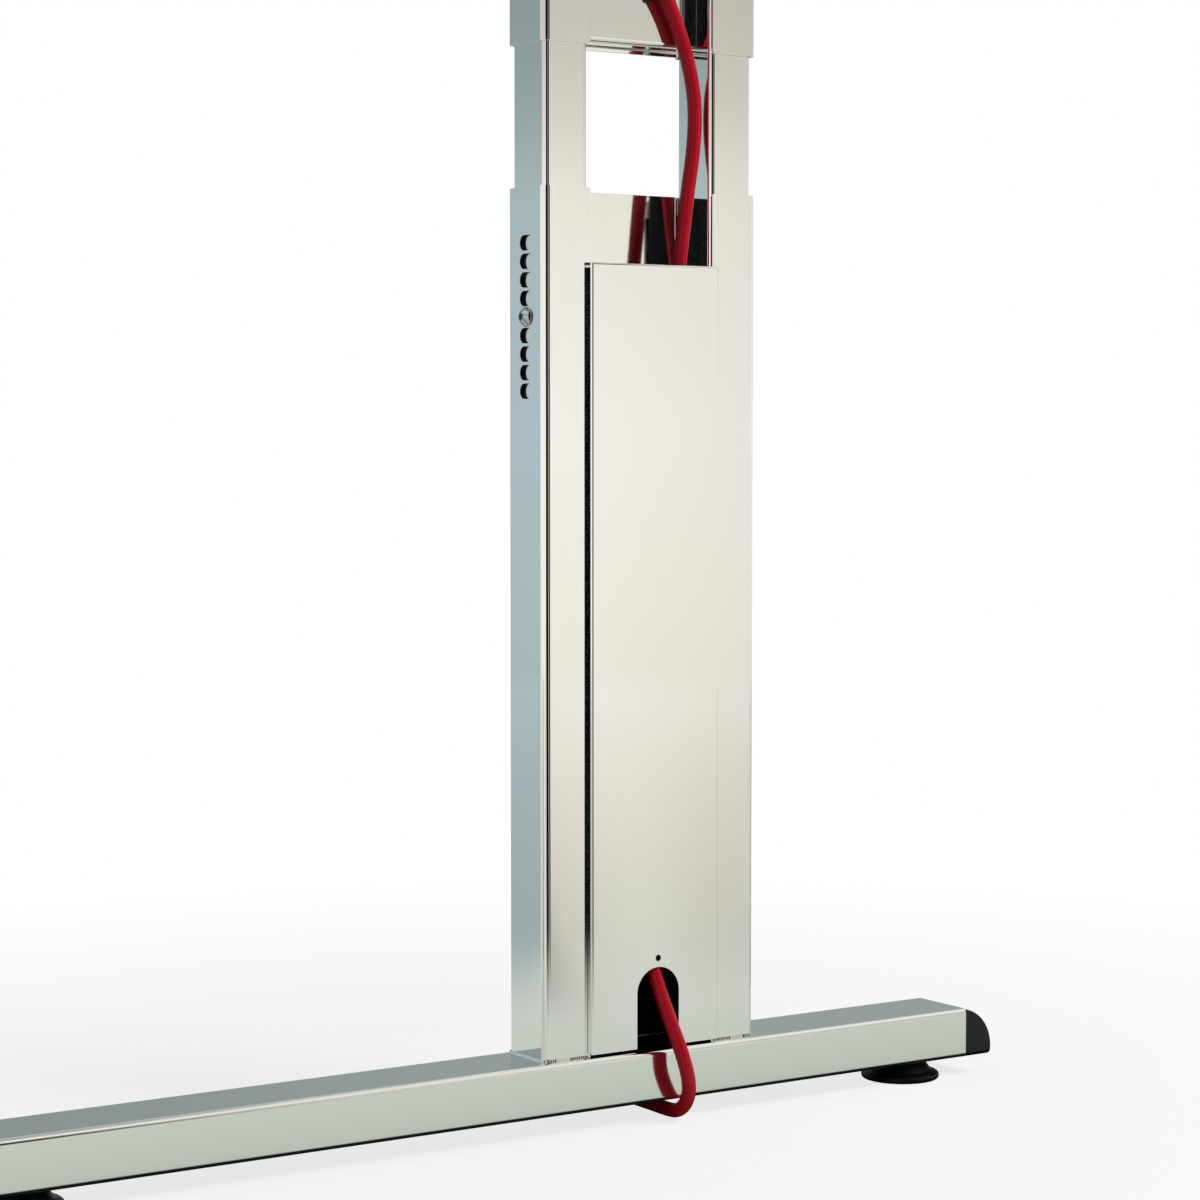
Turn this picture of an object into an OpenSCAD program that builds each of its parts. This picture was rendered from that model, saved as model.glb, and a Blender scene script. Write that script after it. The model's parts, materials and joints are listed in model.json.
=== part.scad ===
// Twin-tube telescopic desk leg: a foot beam, two outer sections joined by a cable duct
// and open towards it, two inner tubes under a head plate, and two clamp screws that
// hold the height.
// X runs along the foot, Y to the back, Z up. The origin is on the floor, under the
// middle of the foot.

/* [Foot] */
// Length of the steel foot beam, without its end caps
beam_length = 624; // [480:4:800]
// Depth of the foot beam
beam_depth = 45; // [40:1:70]
// Height of the foot beam's section
beam_height = 29; // [25:1:40]
// Wall of the foot beam
beam_wall = 2; // [1.5:0.5:3]
// How far each end cap stands out of the beam
cap_length = 19; // [10:1:24]
// Diameter of the levelling pads
pad_d = 46; // [36:1:60]
// Height of the levelling pads, screwed fully in
pad_height = 12; // [11:1:20]
// Distance of each leveller from the beam's end
leveller_inset = 32; // [26:1:80]
// Thread diameter of the levelling studs
stud_d = 8; // [6:1:10]

/* [Column] */
// Offset of the column from the middle of the foot
column_x = 90; // [0:2:120]
// Width of the outer tubes
tube_w = 30; // [26:1:44]
// Depth of the outer tubes
tube_d = 37; // [30:1:40]
// Wall of the outer tubes and the collars
tube_wall = 1.5; // [1:0.25:2.5]
// Length of the outer tubes
tube_length = 474; // [380:2:560]
// Clear width between the two outer tubes
duct_w = 81; // [70:1:120]
// Recess of the tubes behind the beam's front face
tube_recess = 7.5; // [7:0.5:10]
// Thickness of the duct channel's sheet
channel_t = 1.5; // [1:0.25:2]

/* [Height setting] */
// Number of height slots in each outer tube
slot_count = 9; // [5:2:11]
// Distance from slot to slot
slot_pitch = 10; // [9.5:0.5:14]
// Height of each slot
slot_height = 8.4; // [7.4:0.2:8.8]
// Width of each slot, end to end
slot_width = 13.5; // [11:0.5:16]
// Depth of the first slot below the tube's top
slot_drop = 30; // [20:1:50]
// Thread diameter of the clamp screws
screw_d = 6; // [5:1:6]

/* [Inner tubes and head] */
// Wall of the inner tubes
inner_wall = 1.5; // [1:0.25:2]
// Length of the inner tubes
inner_length = 460; // [380:2:520]
// Bare length of inner tube between the outer tubes and the collars
bare_length = 77; // [60:1:120]
// Length of the collars under the head plate
collar_length = 98; // [80:1:160]
// Width of the head plate, across the foot
head_depth = 80; // [60:1:120]
// Overhang of the head plate past the collars
head_overhang = 15; // [12:1:40]
// Thickness of the head plate
head_t = 5; // [4:0.5:8]
// Diameter of the head plate's fixing holes
head_hole_d = 6.6; // [5.5:0.1:9]

/* [Cover] */
// Height of the cover panel
cover_height = 432; // [320:2:440]
// How far the cover laps over each outer tube
cover_lap = 2; // [1:0.5:5]
// How far the cover's face stands out in front of the tubes
cover_stand = 6.5; // [5.5:0.5:7]
// Thickness of the cover's sheet
cover_t = 1.2; // [0.8:0.1:1.5]
// Width of the cable arch
arch_w = 28; // [20:1:36]
// Height of the cable arch
arch_h = 44.5; // [30:0.5:60]

/* [Cable] */
// Diameter of the cable
cable_d = 8; // [7:0.5:8]

/* [Hidden] */
$fn = 48;

// Clearances
slip = 0.3;             // between parts that slide, and beside a loose thread
side_play = 0.5;        // from the inner tubes to the outer tubes' side walls
depth_play = 0.8;       // from the inner tubes to the outer tubes' fronts and backs
fit = 0.15;             // between a plug and the tube that it sits in
eps = 0.01;             // overrun of a cut past the face that it opens

// Foot
beam_r = 3;             // outer corner of the beam's section
beam_bottom = pad_height;
beam_top = beam_bottom + beam_height;
leveller_x = beam_length / 2 - leveller_inset;
cap_nose_r = 24;        // curve of the end cap's nose
cap_plug_depth = 24;    // how far the cap's plug reaches into the beam
cap_rib = 1.6;          // wall of the cap's hollow plug
insert_flange_t = 1;
insert_flange_d = 20;
insert_d = 13.6;        // sleeve of the threaded insert
insert_length = 16;
stud_ball_d = 10;
stud_ball_z = 6;        // height of the ball's centre over the floor
stud_top = beam_top - beam_wall - 2;

// Column
column_y = tube_recess + tube_d / 2 - beam_depth / 2;
tube_front = column_y - tube_d / 2;
tube_back = column_y + tube_d / 2;
tube_r = 4;             // outer corner of the outer tubes
lip_r = 2;              // round corner at the ends of the outer tubes' free edges
tube_x = (duct_w + tube_w) / 2;
tube_top = beam_top + tube_length;
duct_half = duct_w / 2;
duct_set = 2;           // from the duct's back face to the tubes' backs

// Height slots and the clamp
slot_y = tube_front + 17.5;
slot_top_z = tube_top - slot_drop;
mid_slot = (slot_count - 1) / 2;
lock_z = slot_top_z - mid_slot * slot_pitch;
travel = mid_slot * slot_pitch;
nut_flange_t = 1.2;
nut_rim = 1;            // how far the nut's flange reaches past the slot
window_play = 0.8;      // room round the nut's flange in the inner tube's window
washer_t = 0.8;
washer_d = screw_d + 4.8;
head_d = screw_d * 1.75;
head_h = 3.3;
socket_af = 4;          // hexagon socket, across flats
socket_depth = 2;

// Inner tubes and head
inner_w = tube_w - tube_wall - side_play - slip;
inner_d = tube_d - 2 * tube_wall - 2 * depth_play;
inner_x = duct_half + slip + inner_w / 2;
inner_r = 3;
collar_bottom = tube_top + bare_length;
collar_top = collar_bottom + collar_length;
inner_bottom = collar_top - inner_length;
shoe_flange_t = 8;
shoe_plug_depth = 20;
rail_t = 1.5;
rail_lap = 3;           // how far the clamp rail laps past its window's ends
rail_room = 2.65;       // from the clamp rail's edge to the tube's inner face
web_t = 1.5;            // sheet of the upper web
web_front = tube_front + 16;
web_bottom = collar_bottom + 3.4;
web_lip = 2.5;
head_length = duct_w + 2 * tube_w + 2 * head_overhang;
head_hole_x = head_length / 2 - 15;
head_hole_y = head_depth / 2 - 10;

// Cover
cover_front = tube_front - cover_stand;
cover_half = duct_half + cover_lap;
cover_bottom = beam_top + 1.5;
cover_hole_d = 3.6;
cover_hole_gap = 5;     // from the arch's crown to the small hole
relief = 1.6;           // notch at each folded corner
clip_t = 1;
clip_h = 18;
clip_reach = 14;        // depth of the clip's legs behind the cover's sheet
clip_levels = [0.28, 0.86];

// Cable: points on its centre line, from the socket down to the coil
socket_x = 97;
socket_back = 8;        // from the socket's middle to the upper web behind it
socket_y = web_front - socket_back;
socket_w = 30;
socket_depth_y = 15;
socket_h = 36;
neck_h = 8;
upper_points = [
    [97, -7, 645.6], [97.3, -7, 639], [100, -6.5, 631], [105.5, -6, 622], [112, -5, 610],
    [119, -5, 593], [124, -5, 574], [125.5, -5, 556], [124, -5, 536],
    [120.5, -5, 514], [116, -4, 477], [109, -3, 420], [101, -2, 350],
    [94, -2, 270], [89, -3, 200], [87.5, -6, 150], [89, -9, 118], [93, -14, 88]
];
lower_points = [
    [93, -14, 88], [93.5, -18.5, 72], [95.5, -23.5, 56], [98, -28, 41],
    [101, -29.5, 28], [104, -28.5, 17], [105, -24, 9.2], [105, -16, 5],
    [105, -6, 4.2], [105.3, 10, 4.1], [105.8, 30, 4.1], [106, 49.3, 4.1]
];
tail_points = [
    [72, 28.9, 20], [84, 28.6, 18.8], [96, 28.6, 15.8], [108, 29.4, 12.6],
    [121, 31.2, 9], [133, 33.9, 7.6], [144.5, 37, 8.6], [156, 40, 10]
];
ring_sides = 10;
ring_step = 3;          // rings to each stretch between two points
coil_x = 62;
coil_y = 72;
coil_r = 48;
coil_turns_wide = 2;
coil_layers = 3;        // the top one has only its outer turn
plug_x = 156;
plug_y = 40;
plug_z = 10;
plug_w = 30;
plug_t = 18;
plug_l = 34;

steel = "#d8d9d0";
side_steel = "#a9b6b8";
black = "#15171a";
zinc = "#b9bcbc";
cable_red = "#b2132a";

// ---- shapes that repeat ----

// A rectangle with round corners, centred
module round_rect(w, h, r) {
    square([w - 2 * r, h], center = true);
    square([w, h - 2 * r], center = true);
    for (x = [-1, 1], y = [-1, 1])
        translate([x * (w / 2 - r), y * (h / 2 - r)]) circle(r);
}

// A square tube standing on z = 0
module round_tube(w, d, wall, r, length) {
    difference() {
        linear_extrude(length) round_rect(w, d, r);
        translate([0, 0, -eps])
            linear_extrude(length + 2 * eps)
                round_rect(w - 2 * wall, d - 2 * wall, max(r - wall, 0.5));
    }
}

// A bar with round ends, lying along Y and cut through in X
module slot_bar(width, height, depth) {
    half = (width - height) / 2;
    rotate([0, 90, 0]) {
        for (y = [-half, half])
            translate([0, y, 0]) cylinder(d = height, h = depth);
        translate([-height / 2, -half, 0]) cube([height, 2 * half, depth]);
    }
}

// Puts a left-hand piece in place, or its mirror image on the right
module on_side(side) {
    translate([column_x, 0, 0]) mirror([side > 0 ? 1 : 0, 0, 0]) children();
}

// Puts a piece at the front leveller or the rear one
module at_leveller(side) {
    translate([side * leveller_x, 0, 0]) children();
}

// ---- foot ----

module foot_beam() {
    color(steel)
        difference() {
            translate([-beam_length / 2, 0, beam_bottom + beam_height / 2])
                rotate([90, 0, 90])
                    round_tube(beam_depth, beam_height, beam_wall, beam_r, beam_length);
            for (side = [-1, 1])
                at_leveller(side)
                    translate([0, 0, beam_bottom - eps])
                        cylinder(d = insert_d + 2 * fit, h = beam_wall + 2 * eps);
        }
}

// Hollow plug with three grip ribs and a rounded nose, at the beam's +X end
module end_cap() {
    inner_y = beam_depth - 2 * beam_wall - 2 * slip - 1.2;
    inner_z = beam_height - 2 * beam_wall - 2 * slip - 1.2;
    middle = beam_bottom + beam_height / 2;
    intersection() {
        translate([beam_length / 2, 0, middle])
            rotate([90, 0, 90])
                linear_extrude(cap_length) round_rect(beam_depth, beam_height, beam_r);
        translate([beam_length / 2 + cap_length - cap_nose_r, 0, beam_top - cap_nose_r])
            rotate([90, 0, 0])
                cylinder(r = cap_nose_r, h = beam_depth + 2, center = true, $fn = 96);
    }
    difference() {
        union() {
            translate([beam_length / 2 - cap_plug_depth, 0, middle])
                rotate([90, 0, 90])
                    linear_extrude(cap_plug_depth) round_rect(inner_y, inner_z, 1);
            for (n = [0:2])
                translate([beam_length / 2 - 6 - 7 * n, 0, middle])
                    rotate([90, 0, 90])
                        linear_extrude(1.4)
                            round_rect(inner_y + 1.2, inner_z + 1.2, 1);
        }
        translate([beam_length / 2 - cap_plug_depth - eps, 0, middle])
            rotate([90, 0, 90])
                linear_extrude(cap_plug_depth - 2)
                    square([inner_y - 2 * cap_rib, inner_z - 2 * cap_rib], center = true);
    }
}

module end_cap_front() {
    color(black) mirror([1, 0, 0]) end_cap();
}

module end_cap_rear() {
    color(black) end_cap();
}

module leveller_insert(side) {
    color(zinc)
        at_leveller(side)
            translate([0, 0, beam_bottom - insert_flange_t])
                difference() {
                    union() {
                        cylinder(d = insert_flange_d, h = insert_flange_t);
                        cylinder(d = insert_d, h = insert_length);
                    }
                    translate([0, 0, -eps])
                        cylinder(d = stud_d + 2 * slip, h = insert_length + 2 * eps);
                }
}

// Round pad with a hollow cone that holds the stud's ball
module leveller_pad(side) {
    pad_r = pad_d / 2;
    neck_top = pad_height - insert_flange_t - slip;
    color(black)
        at_leveller(side)
            difference() {
                rotate_extrude($fn = 72)
                    polygon([
                        [0, 0], [pad_r - 1, 0], [pad_r, 1], [pad_r, 3], [pad_r - 1.2, 4],
                        [pad_r * 0.8, 5], [pad_r * 0.62, neck_top], [0, neck_top]
                    ]);
                translate([0, 0, stud_ball_z]) sphere(d = stud_ball_d + 2 * slip);
                translate([0, 0, stud_ball_z])
                    cylinder(d = stud_d + 2 * slip + 0.6, h = pad_height);
            }
}

// Ball-ended stud with a slot for a screwdriver in its top
module leveller_stud(side) {
    color(zinc)
        at_leveller(side)
            difference() {
                union() {
                    translate([0, 0, stud_ball_z]) sphere(d = stud_ball_d);
                    translate([0, 0, stud_ball_z])
                        cylinder(d = stud_d, h = stud_top - stud_ball_z);
                }
                translate([-stud_d, -0.6, stud_top - 2]) cube([2 * stud_d, 1.2, 3]);
            }
}

// ---- outer tubes and duct ----

module height_slots() {
    for (n = [0:slot_count - 1])
        translate([-tube_x - tube_w / 2 - 1, slot_y, slot_top_z - n * slot_pitch])
            slot_bar(slot_width, slot_height, tube_wall + 2);
}

// A folded section whose front and back flanges end at the duct, with round free corners
module open_section(length, lower_r, upper_r) {
    intersection() {
        translate([-tube_x + tube_w / 2, column_y, 0])
            round_tube(2 * tube_w, tube_d, tube_wall, tube_r, length);
        translate([-duct_half - tube_w, tube_back + 1, 0])
            rotate([90, 0, 0])
                linear_extrude(tube_d + 2)
                    union() {
                        square([tube_w - max(lower_r, upper_r), length]);
                        translate([0, lower_r]) square([tube_w, length - lower_r - upper_r]);
                        translate([tube_w - lower_r, lower_r]) circle(lower_r);
                        translate([tube_w - upper_r, length - upper_r]) circle(upper_r);
                    }
    }
}

module outer_tube(side) {
    color(steel)
        on_side(side)
            difference() {
                translate([0, 0, beam_top]) open_section(tube_length, eps, lip_r);
                height_slots();
            }
}

// Folded tray between the outer tubes, whose short flanges meet their back edges
module duct_channel() {
    depth = channel_t + duct_set;
    color(side_steel)
        translate([column_x - duct_half, tube_back - depth, beam_top])
            difference() {
                cube([duct_w, depth, tube_length]);
                translate([channel_t, channel_t, -1])
                    cube([duct_w - 2 * channel_t, depth, tube_length + 2]);
            }
}

// ---- cover ----

// Folded tray: face, two side returns and a top return, with notched corners
module cover_panel() {
    depth = cover_stand - slip;
    crown = cover_bottom + arch_h;
    color(steel)
        difference() {
            translate([column_x - cover_half, cover_front, cover_bottom])
                difference() {
                    cube([2 * cover_half, depth, cover_height]);
                    translate([cover_t, cover_t, -1])
                        cube([2 * cover_half - 2 * cover_t, depth, cover_height - cover_t + 1]);
                    for (x = [-1, 2 * cover_half - cover_t])
                        translate([x, cover_t, cover_height - relief - cover_t])
                            cube([cover_t + 1, depth, relief + cover_t + 1]);
                }
            translate([column_x, cover_front - 1, crown - arch_w / 2])
                rotate([-90, 0, 0]) cylinder(d = arch_w, h = cover_t + 2, $fn = 96);
            translate([column_x - arch_w / 2, cover_front - 1, cover_bottom - 1])
                cube([arch_w, cover_t + 2, arch_h - arch_w / 2 + 1]);
            translate([column_x, cover_front - 1, crown + cover_hole_gap])
                rotate([-90, 0, 0]) cylinder(d = cover_hole_d, h = cover_t + 2);
        }
}

// Two spring clips on the back of the cover, whose legs grip between the outer tubes
module cover_clips() {
    half = duct_half - slip;
    back = cover_front + cover_t;
    leg_end = back + cover_stand - cover_t + clip_reach;
    color(zinc)
        for (level = clip_levels)
            translate([column_x, 0, cover_bottom + level * cover_height - clip_h / 2]) {
                translate([-half, back, 0]) cube([2 * half, clip_t, clip_h]);
                for (x = [-half, half - clip_t])
                    translate([x, back, 0]) cube([clip_t, leg_end - back, clip_h]);
                for (side = [-1, 1])
                    translate([side * (half - clip_t), leg_end - 3, 0])
                        cylinder(d = 1.8, h = clip_h);
            }
}

// ---- clamp ----

// Tee nut: its boss sits in the middle slot, its flange behind the tube's wall
module lock_nut(side) {
    outer_x = -tube_x - tube_w / 2;
    color(zinc)
        on_side(side)
            translate([outer_x, slot_y, lock_z])
                difference() {
                    union() {
                        translate([fit, 0, 0])
                            slot_bar(slot_width - 2 * fit, slot_height - 2 * fit,
                                tube_wall - fit + nut_flange_t / 2);
                        translate([tube_wall + 0.05, 0, 0])
                            slot_bar(slot_width + 2 * nut_rim, slot_height + 2 * nut_rim,
                                nut_flange_t);
                    }
                    translate([-1, 0, 0])
                        rotate([0, 90, 0]) cylinder(d = screw_d + 2 * fit, h = 8);
                }
}

module lock_washer(side) {
    color(zinc)
        on_side(side)
            translate([-tube_x - tube_w / 2 - washer_t, slot_y, lock_z])
                rotate([0, 90, 0])
                    difference() {
                        cylinder(d = washer_d, h = washer_t - 0.02);
                        translate([0, 0, -1])
                            cylinder(d = screw_d + 2 * slip, h = washer_t + 2);
                    }
}

// Button-head screw whose tip bears on the clamp rail
module lock_screw(side) {
    dome_r = (head_d * head_d / 4 + head_h * head_h) / (2 * head_h);
    tip = tube_wall + side_play + inner_wall - slip;
    color(zinc)
        on_side(side)
            translate([-tube_x - tube_w / 2 - washer_t - 0.02, slot_y, lock_z])
                rotate([0, 90, 0])
                    difference() {
                        union() {
                            cylinder(d = screw_d, h = washer_t + tip);
                            intersection() {
                                translate([0, 0, -head_h]) cylinder(d = head_d, h = head_h);
                                translate([0, 0, dome_r - head_h])
                                    sphere(r = dome_r, $fn = 96);
                            }
                        }
                        translate([0, 0, -head_h - 1])
                            cylinder(d = socket_af / cos(30), h = socket_depth + 1, $fn = 6);
                    }
}

// ---- inner tubes and head ----

module inner_tube(side) {
    window_h = 2 * travel + slot_height + 2 * nut_rim + 2 * window_play;
    window_w = slot_width + 2 * nut_rim + 2 * window_play;
    color(side_steel)
        on_side(side)
            difference() {
                translate([-inner_x, column_y, inner_bottom])
                    round_tube(inner_w, inner_d, inner_wall, inner_r, inner_length);
                translate([-inner_x - inner_w / 2 - 1, slot_y - window_w / 2, lock_z - window_h / 2])
                    cube([inner_wall + 2, window_w, window_h]);
            }
}

// Strip inside the inner tube that closes the window and takes the screw's pressure
module clamp_rail(side) {
    rail_h = 2 * travel + slot_height + 2 * nut_rim + 2 * window_play + 2 * rail_lap;
    rail_w = inner_d - 2 * inner_wall - 2 * rail_room;
    color(side_steel)
        on_side(side)
            translate([-inner_x - inner_w / 2 + inner_wall, slot_y - rail_w / 2, lock_z - rail_h / 2])
                cube([rail_t, rail_w, rail_h]);
}

// Plastic shoe in the inner tube's lower end, with a flange that runs in the outer tube
module glide_shoe(side) {
    plug_wx = inner_w - 2 * inner_wall - 2 * fit;
    plug_wy = inner_d - 2 * inner_wall - 2 * fit;
    color(black)
        on_side(side)
            translate([-inner_x, column_y, inner_bottom - shoe_flange_t])
                difference() {
                    union() {
                        linear_extrude(shoe_flange_t)
                            round_rect(inner_w + 0.1, inner_d + 0.1, inner_r);
                        linear_extrude(shoe_flange_t + shoe_plug_depth)
                            round_rect(plug_wx, plug_wy, inner_r - inner_wall);
                    }
                    translate([0, 0, -eps])
                        linear_extrude(shoe_flange_t + shoe_plug_depth + 1)
                            square([plug_wx - 4, plug_wy - 4], center = true);
                    for (z = [2.2, 5.2])
                        translate([0, 0, z])
                            linear_extrude(1)
                                difference() {
                                    square([tube_w, tube_d], center = true);
                                    square([inner_w - 1.4, inner_d - 1.4], center = true);
                                }
                }
}

module upper_collar(side) {
    color(steel)
        on_side(side)
            translate([0, 0, collar_bottom]) open_section(collar_length, lip_r, eps);
}

// Folded web between the inner tubes: face, floor flange, rear lip and top flange
module upper_web() {
    width = duct_w + 2 * slip;
    depth = tube_back - duct_set - web_front;
    height = collar_top - web_bottom;
    color(side_steel)
        translate([column_x - width / 2, web_front, web_bottom]) {
            cube([width, web_t, height]);
            cube([width, depth, web_t]);
            translate([0, depth - web_t, -web_lip]) cube([width, web_t, web_lip + web_t]);
            translate([0, 0, height - web_t]) cube([width, depth, web_t]);
        }
}

module head_plate() {
    color(steel)
        translate([column_x, 0, collar_top])
            difference() {
                linear_extrude(head_t) round_rect(head_length, head_depth, 6);
                for (x = [-1, 1], y = [-1, 1])
                    translate([x * head_hole_x, y * head_hole_y, -1])
                        cylinder(d = head_hole_d, h = head_t + 2);
            }
}

// ---- cable ----

// A point on the smooth curve through four points, at share t between the middle two
function curve_point(a, b, c, d, t) =
    0.5 * (2 * b + (c - a) * t + (2 * a - 5 * b + 4 * c - d) * t * t
        + (3 * b - 3 * c + d - a) * t * t * t);

// The points that a cable's rings are centred on
function curve_through(p, step) = [
    for (i = [0:len(p) - 2], n = [0:step - 1])
        curve_point(p[max(i - 1, 0)], p[i], p[i + 1], p[min(i + 2, len(p) - 1)], n / step),
    p[len(p) - 1]
];

function unit(v) = v / norm(v);

function tangents(c) = [
    for (i = [0:len(c) - 1]) unit(c[min(i + 1, len(c) - 1)] - c[max(i - 1, 0)])
];

// A round tube along points, as one closed solid; aside is never along the tube
module swept_tube(p, d, aside) {
    c = curve_through(p, ring_step);
    t = tangents(c);
    corners = [
        for (i = [0:len(c) - 1], k = [0:ring_sides - 1])
            let (u = unit(cross(t[i], aside)), v = cross(t[i], u), a = 360 * k / ring_sides)
                c[i] + d / 2 * (cos(a) * u + sin(a) * v)
    ];
    sides = [
        for (i = [0:len(c) - 2], k = [0:ring_sides - 1])
            let (a = i * ring_sides, b = a + ring_sides, m = (k + 1) % ring_sides)
                [a + k, b + k, b + m, a + m]
    ];
    last = (len(c) - 1) * ring_sides;
    ends = [
        [for (k = [0:ring_sides - 1]) k],
        [for (k = [ring_sides - 1:-1:0]) last + k]
    ];
    polyhedron(corners, concat(sides, ends), convexity = 6);
}

// Three-pole coupling under the head plate, on the front of the upper web
module cable_socket() {
    top = collar_top;
    color(black)
        translate([socket_x, 0, 0])
            difference() {
                union() {
                    translate([-socket_w / 2, web_front - socket_depth_y, top - socket_h])
                        cube([socket_w, socket_depth_y, socket_h]);
                    translate([0, socket_y, top - socket_h - neck_h])
                        cylinder(d1 = cable_d + 3, d2 = cable_d + 5, h = neck_h + 1);
                }
                for (n = [0:3])
                    translate([-socket_w / 2 - 1, web_front - socket_depth_y - 1, top - 12 - 5 * n])
                        cube([socket_w + 2, 1.8, 2]);
            }
}

module cable_upper_run() {
    color(cable_red) swept_tube(upper_points, cable_d, [1, 0, 0]);
}

module cable_lower_run() {
    color(cable_red) swept_tube(lower_points, cable_d, [1, 0, 0]);
}

module cable_coil() {
    width = coil_turns_wide * cable_d;
    full = coil_layers * cable_d;
    color(cable_red)
        translate([coil_x, coil_y, 0])
            rotate_extrude($fn = 72)
                translate([coil_r - width, 0])
                    polygon([
                        [0, 0], [width, 0], [width, full], [width - cable_d, full],
                        [width - cable_d, full - cable_d], [0, full - cable_d]
                    ]);
}

module cable_tail() {
    color(cable_red) swept_tube(tail_points, cable_d, [0, 0, 1]);
}

// Three-pole coupling at the cable's free end, lying flat
module cable_plug() {
    color(black)
        translate([plug_x, plug_y, plug_z])
            rotate([0, 0, 16]) {
                rotate([0, 90, 0]) cylinder(d1 = cable_d + 3, d2 = cable_d + 5, h = neck_h + 1);
                difference() {
                    translate([neck_h, -plug_w / 2, -plug_t / 2]) cube([plug_l, plug_w, plug_t]);
                    for (n = [0:3])
                        translate([neck_h + 5 + 5 * n, -plug_w, plug_t / 2 - 0.8])
                            cube([2, 2 * plug_w, 2]);
                }
                for (y = [-7, 0, 7])
                    translate([neck_h + plug_l, y, 0])
                        rotate([0, 90, 0]) cylinder(d = 3, h = 8);
            }
}

foot_beam();
end_cap_front();
end_cap_rear();
leveller_insert(-1);  // leveller_insert_front
leveller_insert(1);  // leveller_insert_rear
leveller_pad(-1);  // leveller_pad_front
leveller_pad(1);  // leveller_pad_rear
leveller_stud(-1);  // leveller_stud_front
leveller_stud(1);  // leveller_stud_rear
outer_tube(-1);  // outer_tube_left
outer_tube(1);  // outer_tube_right
duct_channel();
cover_panel();
cover_clips();
lock_nut(-1);  // lock_nut_left
lock_nut(1);  // lock_nut_right
lock_washer(-1);  // lock_washer_left
lock_washer(1);  // lock_washer_right
lock_screw(-1);  // lock_screw_left
lock_screw(1);  // lock_screw_right
inner_tube(-1);  // inner_tube_left
inner_tube(1);  // inner_tube_right
clamp_rail(-1);  // clamp_rail_left
clamp_rail(1);  // clamp_rail_right
glide_shoe(-1);  // glide_shoe_left
glide_shoe(1);  // glide_shoe_right
upper_collar(-1);  // upper_collar_left
upper_collar(1);  // upper_collar_right
upper_web();
head_plate();
cable_socket();
cable_upper_run();
cable_lower_run();
cable_coil();
cable_tail();
cable_plug();
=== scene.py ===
import json
import math

import bmesh
import bpy
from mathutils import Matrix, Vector


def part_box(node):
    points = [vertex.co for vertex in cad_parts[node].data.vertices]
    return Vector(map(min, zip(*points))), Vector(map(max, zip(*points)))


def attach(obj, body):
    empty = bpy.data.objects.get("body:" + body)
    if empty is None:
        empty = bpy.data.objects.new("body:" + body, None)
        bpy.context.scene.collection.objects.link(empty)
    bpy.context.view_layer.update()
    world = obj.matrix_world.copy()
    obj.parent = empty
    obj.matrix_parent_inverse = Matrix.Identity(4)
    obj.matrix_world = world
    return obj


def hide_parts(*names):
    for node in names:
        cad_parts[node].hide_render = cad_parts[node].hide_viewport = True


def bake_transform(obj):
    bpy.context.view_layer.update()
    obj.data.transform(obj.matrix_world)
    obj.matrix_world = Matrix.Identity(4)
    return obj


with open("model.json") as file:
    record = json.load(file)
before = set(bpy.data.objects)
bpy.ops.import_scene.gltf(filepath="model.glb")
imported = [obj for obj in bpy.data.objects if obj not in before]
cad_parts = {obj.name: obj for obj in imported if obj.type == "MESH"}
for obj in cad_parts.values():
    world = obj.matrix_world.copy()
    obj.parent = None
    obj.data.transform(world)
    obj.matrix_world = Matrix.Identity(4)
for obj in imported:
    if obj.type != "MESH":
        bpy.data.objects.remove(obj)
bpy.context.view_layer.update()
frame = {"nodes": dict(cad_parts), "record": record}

mm = 0.001                    # sizes below are in millimetres, Blender works in metres
columnMiddle = 90
columnHalf = 70.5             # from the middle to the outside of an outer section


def point(x, y, z):
    return Vector((x * mm, y * mm, z * mm))


def colour(code):
    # sRGB hex to the linear numbers that the shaders work in
    parts = [int(code[i:i + 2], 16) / 255 for i in (1, 3, 5)]
    linear = [p / 12.92 if p <= 0.04045 else ((p + 0.055) / 1.055) ** 2.4 for p in parts]
    return (*linear, 1.0)


def addNode(tree, kind, inputs=None, **settings):
    # one node with its settings; an input takes a plain value or another node's output
    node = tree.nodes.new(kind)
    for name, value in settings.items():
        setattr(node, name, value)
    for socket, value in (inputs or {}).items():
        if isinstance(value, bpy.types.NodeSocket):
            tree.links.new(value, node.inputs[socket])
        else:
            node.inputs[socket].default_value = value
    return node


cameraSetup = {
    "place": (-871.2, -1404.1, 383.4),
    "turn": 33.71,            # degrees to the right of +Y
    "down": 3.15,
    "lens": 92.06,
}


def makeCamera():
    data = bpy.data.cameras.new("camera")
    data.lens = cameraSetup["lens"]
    data.sensor_width = 36
    camera = bpy.data.objects.new("camera", data)
    camera.location = point(*cameraSetup["place"])
    camera.rotation_euler = (
        math.radians(90 - cameraSetup["down"]),
        0,
        math.radians(-cameraSetup["turn"]),
    )
    bpy.context.scene.collection.objects.link(camera)
    bpy.context.scene.camera = camera


makeCamera()
print("camera placed")


def linkMesh(name, mesh):
    made = bpy.data.objects.new(name, mesh)
    bpy.context.scene.collection.objects.link(made)
    return made


def lineMesh(name, points, closed=False):
    # a bare line of edges, which a node tree turns into a curve
    mesh = bpy.data.meshes.new(name)
    edges = [(i, i + 1) for i in range(len(points) - 1)]
    if closed:
        edges.append((len(points) - 1, 0))
    mesh.from_pydata([tuple(p) for p in points], edges, [])
    return mesh


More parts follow.
